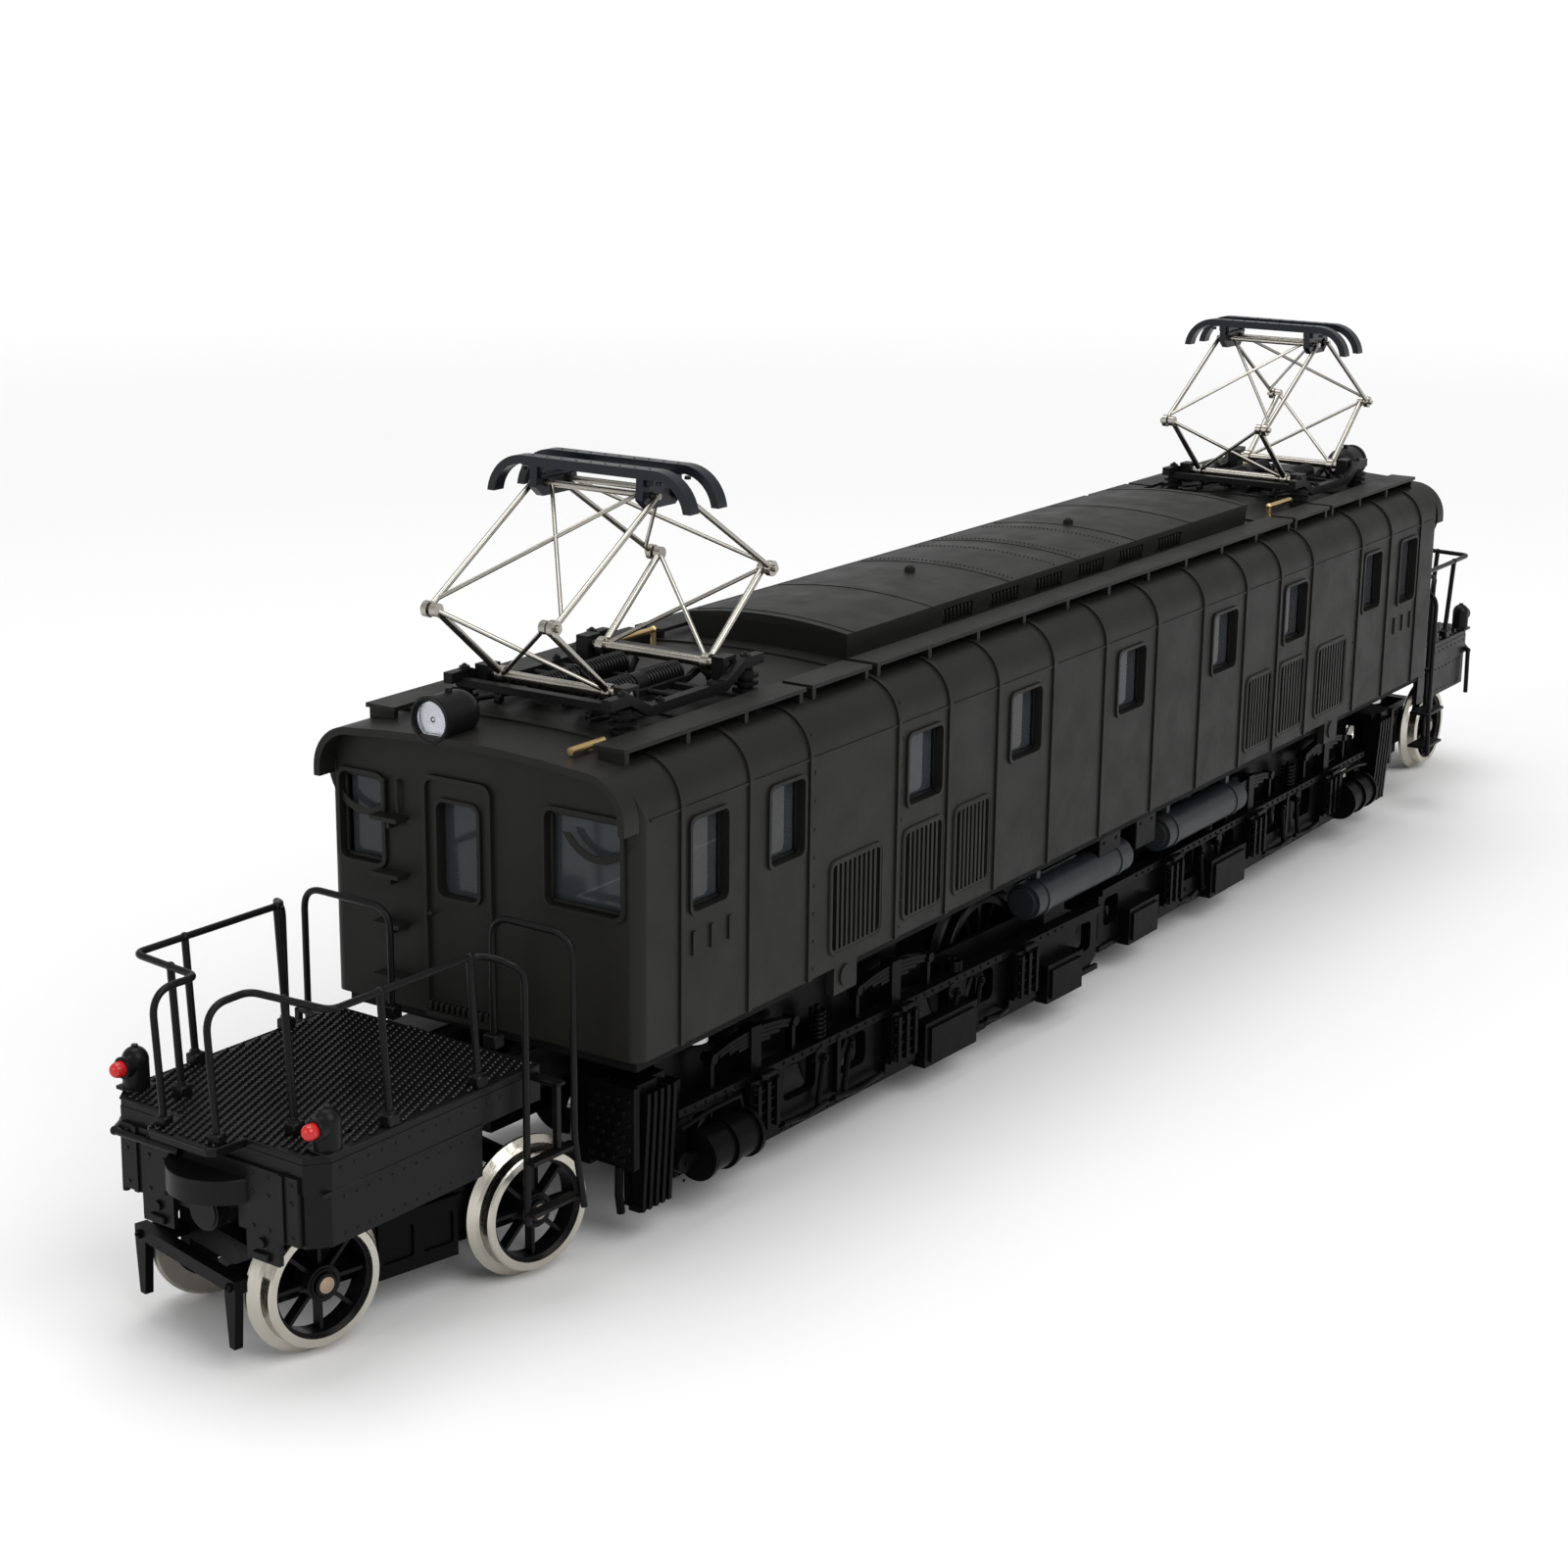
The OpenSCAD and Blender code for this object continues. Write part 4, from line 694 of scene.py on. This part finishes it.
def deck_detail(end):
    """Edge beading, bolts, straps and lamp brackets of one deck."""
    made = Builder(truck_place(end))
    bead, bead_z = 0.13, 19.66
    for side in SIDES:
        made.path([(-97.2, side * DECK_HALF_W, bead_z), (-122.4, side * DECK_HALF_W, bead_z),
                   (-124.2, side * 10.6, bead_z), (-124.2, side * 4.2, bead_z),
                   (-127.1, side * 3.9, bead_z), (-127.6, side * 3.3, bead_z)], bead, 8)
        for i in range(15):
            made.rivet((-99 - i * 1.6, side * 12.06, 18.3), (0, side, 0), 0.15, 0.1)
        for i in range(12):
            for z in (15.6, 12.4):
                made.rivet((-105.5 - i * 1.4, side * 11.9, z), (0, side, 0), 0.13, 0.1)
        made.box((-123.5, side * DECK_HALF_W - 0.12, 16.2),
                 (-104.5, side * DECK_HALF_W + 0.08, 16.6), 0.04)
        for y in (5.2, 7, 9.6):
            for z in (12.6, 15.6, 17.2):
                made.rivet((-124.6, side * y, z), (-1, 0, 0), 0.2, 0.14)
        made.box((-125.0, side * 6.1 - 0.9, 9.8), (-124.5, side * 6.1 + 0.9, 10.5), 0.1)
        made.rod((-124.9, side * 6.1, 11.3), (-124.5, side * 6.1, 11.3), 0.45, 16)
        made.box((-123.2, side * 11.2 - 0.9, DECK_Z), (-120.6, side * 11.2 + 0.9, 19.98), 0.08)
        made.rod((-121.9, side * 11.2, 23.1), (-121.9, side * 11.2, 23.6), 0.3, 12)
        made.ring((-123.35, side * 11.2, 21.9), 0.86, 0.12, (1, 0, 0), 24, 6)
        for x, y in RAIL_POSTS:
            made.hex_nut((x - 0.1, side * y, 20.8), (0, 0, 1), 0.52, 0.25)
    made.path([(-127.6, -3.3, bead_z), (-127.6, 3.3, bead_z)], bead, 8)
    made.ring((-122.6, 0, 16.3), 4.78, 0.14, (0, 0, 1), 48, 6)
    made.rod((-125.3, 0, 12.6), (-125.15, 0, 12.6), 1.45, 24)
    made.finish(f"deck_detail_{end}", "deck_black", f"main_truck_{end}")


def truck_detail(end):
    """Bolts, brake shoes, rods, pipes and studs on a main truck."""
    made = Builder(truck_place(end))
    rivet_pitch, clear_of_axle = 1.55, 3.2
    for side in SIDES:
        for x in DRIVING_AXLES:
            for dx in (-1.9, 1.9):
                for z in (5.2, 9.4):
                    made.hex_nut((x + dx, side * 14.8, z), (0, side, 0), 0.35, 0.25)
            made.box((x - 1.2, side * 15.0 - 0.35, 10.0),
                     (x + 1.2, side * 15.0 + 0.35, 10.6), 0.12)
            for z in (5.4, 6.5, 7.6, 8.7):
                made.box((x - 2.1, side * 14.95 - 0.15, z),
                         (x + 2.1, side * 14.95 + 0.15, z + 0.22), 0.05)
        x = -79
        while x < -10.5:
            if min(abs(x - a) for a in DRIVING_AXLES) > clear_of_axle:
                made.rivet((x, side * 14.1, 10.0), (0, side, 0), 0.2, 0.15)
                made.rivet((x, side * 13.9, 3.1), (0, side, 0), 0.16, 0.12)
            x += rivet_pitch
        made.path([(-80, side * 14.3, 8.6), (-76, side * 14.5, 9.2), (-71.2, side * 14.5, 9.2),
                   (-70.8, side * 14.5, 7.6)], 0.26)
        for x0, x1 in ((-64, -56.6), (-55.4, -46.9), (-40, -37.6), (-27, -22.6)):
            made.path([(x0, side * 14.4, 4.0), ((x0 + x1) / 2, side * 14.6, 3.7),
                       (x1, side * 14.4, 4.0)], 0.28)
        for x in (-57.9, -53.4, -33.6, -29.0):
            made.rod((x, side * 14.2, 4.0), (x + 0.9, side * 14.2, 8.6), 0.3)
            made.hex_nut((x + 0.9, side * 14.2, 8.6), (0, side, 0), 0.55, 0.35)
            made.hex_nut((x, side * 14.2, 4.0), (0, side, 0), 0.45, 0.3)
        for x, top in ((-56.5, 13.4), (-31.5, 11.6)):
            made.coil((x, side * 13, 10.5), (x, side * 13, top), 0.75, 0.17, 6)
            made.rod((x, side * 13, 10.5), (x, side * 13, top + 0.4), 0.3)
        for row in range(6):
            for col in range(4):
                y = 10.2 + col * 1.2 + (0.6 if row % 2 else 0)
                made.rivet((-87.7, side * y, 8 + row * 1.15), (-1, 0, 0), 0.32, 0.26)
        made.path([(-87.6, side * 13.2, 7.2), (-87.9, side * 13.4, 4.6),
                   (-87.6, side * 13.4, 2.8)], 0.4)
    made.finish(f"truck_detail_{end}", "frame_black", f"main_truck_{end}")


def axle_ends(end):
    """Bare copper-coloured axle ends in the pilot wheels, and hub rings."""
    z = PILOT_AXLE_Z
    for i, x in ((1, -PILOT_AXLE_X), (2, PILOT_AXLE_X)):
        made = Builder(pilot_place(end))
        ring = Builder(pilot_place(end))
        for side in SIDES:
            made.rod((x, side * 9.3, z), (x, side * 9.62, z), 0.72, 24)
            made.rivet((x, side * 9.62, z), (0, side, 0), 0.6, 0.08)
            ring.ring((x, side * 9.25, z), 1.25, 0.14)
        made.finish(f"axle_ends_{end}_{i}", "axle_copper", f"pilot_wheels_{end}_{i}",
                    "wheel_black")
        ring.finish(f"hub_rings_{end}_{i}", "wheel_black", f"pilot_wheels_{end}_{i}")


def pilot_detail(end):
    """Rivets, springs and screws on a pilot truck's frame."""
    made = Builder(pilot_place(end))
    for side in SIDES:
        for x in (-12.4, -9.6, -5.2, 5.2, 9.6, 12.4):
            made.rivet((x, side * 6.3, 8.2), (0, side, 0), 0.22, 0.16)
            made.rivet((x, side * 6.3, 4.3), (0, side, 0), 0.22, 0.16)
        made.path([(-5, side * 6.7, 8.7), (0, side * 6.7, 9.3), (5, side * 6.7, 8.7)], 0.3)
        made.hex_nut((-18.9, side * 7.0, 6.9), (-1, 0, 0), 0.4, 0.3)
        made.path([(-17.8, side * 7.3, 6.9), (-15.6, side * 6.0, 7.1)], 0.3)
    made.finish(f"pilot_detail_{end}", "frame_black", f"pilot_truck_{end}")


# ---- pantographs ----------------------------------------------------------------------------

def panto_base_detail(end):
    """Second cranked rails, springs, levers, air pipe and insulator ribs of a pantograph's base."""
    made = Builder(panto_place(end))
    crank = [(-10.6, 48.2), (-8.9, 48.2), (-6.4, 47.4), (6.4, 47.4), (8.9, 48.2), (10.6, 48.2)]
    for side in SIDES:
        for (x0, z0), (x1, z1) in zip(crank, crank[1:]):
            made.beam((x0, side * 4.6, z0), (x1, side * 4.6, z1), 0.5, 0.7, 0.06)
        y, z = side * 3.2, 47.9
        made.coil((-6.6, y, z), (-0.9, y, z), 0.95, 0.18, 12)
        made.coil((0.9, y, z), (6.6, y, z), 0.95, 0.18, 12)
        made.rod((-0.8, y, z), (0.8, y, z), 1.05, 20)
        for x in (-9.6, 9.6):
            made.hex_nut((x, side * 9, 49.4), (0, 0, 1), 0.55, 0.35)
            made.rod((x, side * 9, 45.9), (x, side * 9, 46.15), 1.0, 20)
        for x in (-4, 4):
            made.hex_nut((x, side * 9, 47.9), (0, 0, 1), 0.42, 0.3)
        for s in SIDES:
            made.beam((s * 7.6, side * 5.2, 48.4), (s * 9.4, side * 5.2, 47.0), 0.35, 0.6, 0.05)
            made.rod((s * 9.4, side * 5.5, 47.0), (s * 9.4, side * 4.9, 47.0), 0.4, 16)
            made.beam((s * 7.6, side * 2.1, 48.3), (s * 6.4, side * 2.1, 46.9), 0.35, 0.7, 0.05)
        made.rod((0, side * 8.4, 47.4), (0, side * 1.2, 47.4), 0.3)
        made.path([(-11.5, side * 6.6, 47.2), (-4, side * 6.6, 46.6), (4, side * 6.6, 46.6),
                   (11.5, side * 6.6, 47.2)], 0.22)
    cylinder_z = 46.9
    made.rod((-6.4, 0, cylinder_z), (6.4, 0, cylinder_z), 0.45, 16)
    made.rod((-2.6, 0, cylinder_z), (2.6, 0, cylinder_z), 0.95, 24)
    for x in (-2.6, 2.6):
        made.ring((x, 0, cylinder_z), 0.95, 0.14, (1, 0, 0), 24, 6)
    made.finish(f"panto_springs_{end}", "black_paint", "body")


def panto_head_detail(end):
    """Contact strips, screws and spring blocks on a pantograph's head."""
    made = Builder(panto_place(end))
    for x in (-2.2, 2.2):
        for i in range(9):
            y = -6.6 + i * 1.65
            made.rivet((x, y, 68.4), (0, 0, 1), 0.14, 0.06)
        for side in SIDES:
            made.box((x - 0.45, side * 6.0 - 0.7, 66.8), (x + 0.45, side * 6.0 + 0.7, 67.6), 0.1)
            made.rod((x, side * 7.6, 67.3), (x, side * 7.6, 67.0), 0.3)
    for side in SIDES:
        made.rod((-2.6, side * 5.6, 66.6), (2.6, side * 5.6, 66.6), 0.3)
    made.finish(f"panto_head_detail_{end}", "shoe_metal", f"panto_head_{end}")


def all_details():
    """Every piece that isn't a CAD node."""
    for make in (body_rivets, louvre_detail, tank_brackets, monitor_detail, cab_end_detail,
                 side_window_sashes, headlight_detail):
        make()
    for end in ENDS:
        for make in (checker_plate, deck_rails, deck_detail, truck_detail, axle_ends,
                     pilot_detail, panto_base_detail, panto_head_detail):
            make(end)


# ---- camera, floor and light ----------------------------------------------------------------

def add_light(name, place, target, size, power):
    """Square soft light that faces a target."""
    data = bpy.data.lights.new(name, "AREA")
    data.shape = "SQUARE"
    data.size = size
    data.energy = power
    obj = bpy.data.objects.new(name, data)
    obj.location = place
    obj.rotation_euler = (Vector(target) - Vector(place)).to_track_quat("-Z", "Y").to_euler()
    bpy.context.scene.collection.objects.link(obj)


def gradient(tree, value, low, high, to_low, to_high):
    """Smooth change between two numbers as a value goes from low to high."""
    node = tree.nodes.new("ShaderNodeMapRange")
    node.interpolation_type = "SMOOTHSTEP"
    for name, number in (("From Min", low), ("From Max", high), ("To Min", to_low),
                         ("To Max", to_high)):
        node.inputs[name].default_value = number
    tree.links.new(value, node.inputs["Value"])
    return node.outputs["Result"]


def make_floor():
    """White floor that keeps its whiteness far behind the object."""
    far, plain_within, full_from, glow = 20, 0.3, 1.3, 0.55
    mesh = bpy.data.meshes.new("floor")
    mesh.from_pydata([(-far, -far, 0), (far, -far, 0), (far, far, 0), (-far, far, 0)], [],
                     [(0, 1, 2, 3)])
    mat, tree, shader = new_material("floor_white")
    shader.inputs["Base Color"].default_value = (0.76, 0.76, 0.76, 1)
    shader.inputs["Roughness"].default_value = 0.8
    shader.inputs["Specular IOR Level"].default_value = 0.1
    shader.inputs["Emission Color"].default_value = (1, 1, 1, 1)
    coords = tree.nodes.new("ShaderNodeTexCoord")
    length = tree.nodes.new("ShaderNodeVectorMath")
    length.operation = "LENGTH"
    tree.links.new(coords.outputs["Object"], length.inputs[0])
    tree.links.new(gradient(tree, length.outputs["Value"], plain_within, full_from, 0, glow),
                   shader.inputs["Emission Strength"])
    mesh.materials.append(mat)
    floor = bpy.data.objects.new("floor", mesh)
    bpy.context.scene.collection.objects.link(floor)


def make_world():
    """Even white surroundings, a little brighter along the horizon."""
    low, high, at_horizon, above = 0.02, 0.12, 1.05, 0.6
    world = bpy.data.worlds.new("studio")
    world.use_nodes = True
    tree = world.node_tree
    back = tree.nodes["Background"]
    back.inputs["Color"].default_value = (1, 1, 1, 1)
    coords = tree.nodes.new("ShaderNodeTexCoord")
    split = tree.nodes.new("ShaderNodeSeparateXYZ")
    tree.links.new(coords.outputs["Generated"], split.inputs["Vector"])
    tree.links.new(gradient(tree, split.outputs["Z"], low, high, at_horizon, above),
                   back.inputs["Strength"])
    bpy.context.scene.world = world


def make_camera():
    """The photograph's viewing angle."""
    yaw, pitch, roll = math.radians(33.29), math.radians(-15.5), math.radians(0.66)
    place = (-0.27907, -0.15463, 0.10878 + RAIL)
    forward = Vector((math.cos(pitch) * math.cos(yaw), math.cos(pitch) * math.sin(yaw),
                      math.sin(pitch)))
    level = Vector((math.sin(yaw), -math.cos(yaw), 0))
    upright = level.cross(forward)
    right = math.cos(roll) * level + math.sin(roll) * upright
    up = -math.sin(roll) * level + math.cos(roll) * upright
    data = bpy.data.cameras.new("camera")
    data.sensor_width = 36
    data.lens = 65.31
    data.shift_x = 0.0005
    data.shift_y = 0.0025
    data.clip_start = 0.01
    data.clip_end = 20
    camera = bpy.data.objects.new("camera", data)
    turn = Matrix((right, up, -forward)).transposed().to_4x4()
    camera.matrix_world = Matrix.Translation(place) @ turn
    bpy.context.scene.collection.objects.link(camera)
    bpy.context.scene.camera = camera


def stage():
    """Camera, pale floor and soft studio light."""
    make_camera()
    make_floor()
    make_world()
    bpy.context.scene.view_settings.view_transform = "Standard"
    middle = (0, 0, 0.03)
    add_light("key", (-0.25, -0.9, 0.9), middle, 0.9, 9)
    add_light("top", (0.1, 0.2, 1.2), middle, 0.8, 7)
    add_light("front", (-1.1, 0.25, 0.5), (-0.05, 0, 0.03), 0.5, 3)


# ---- main -----------------------------------------------------------------------------------

stage()
dress_cad_nodes()
all_details()
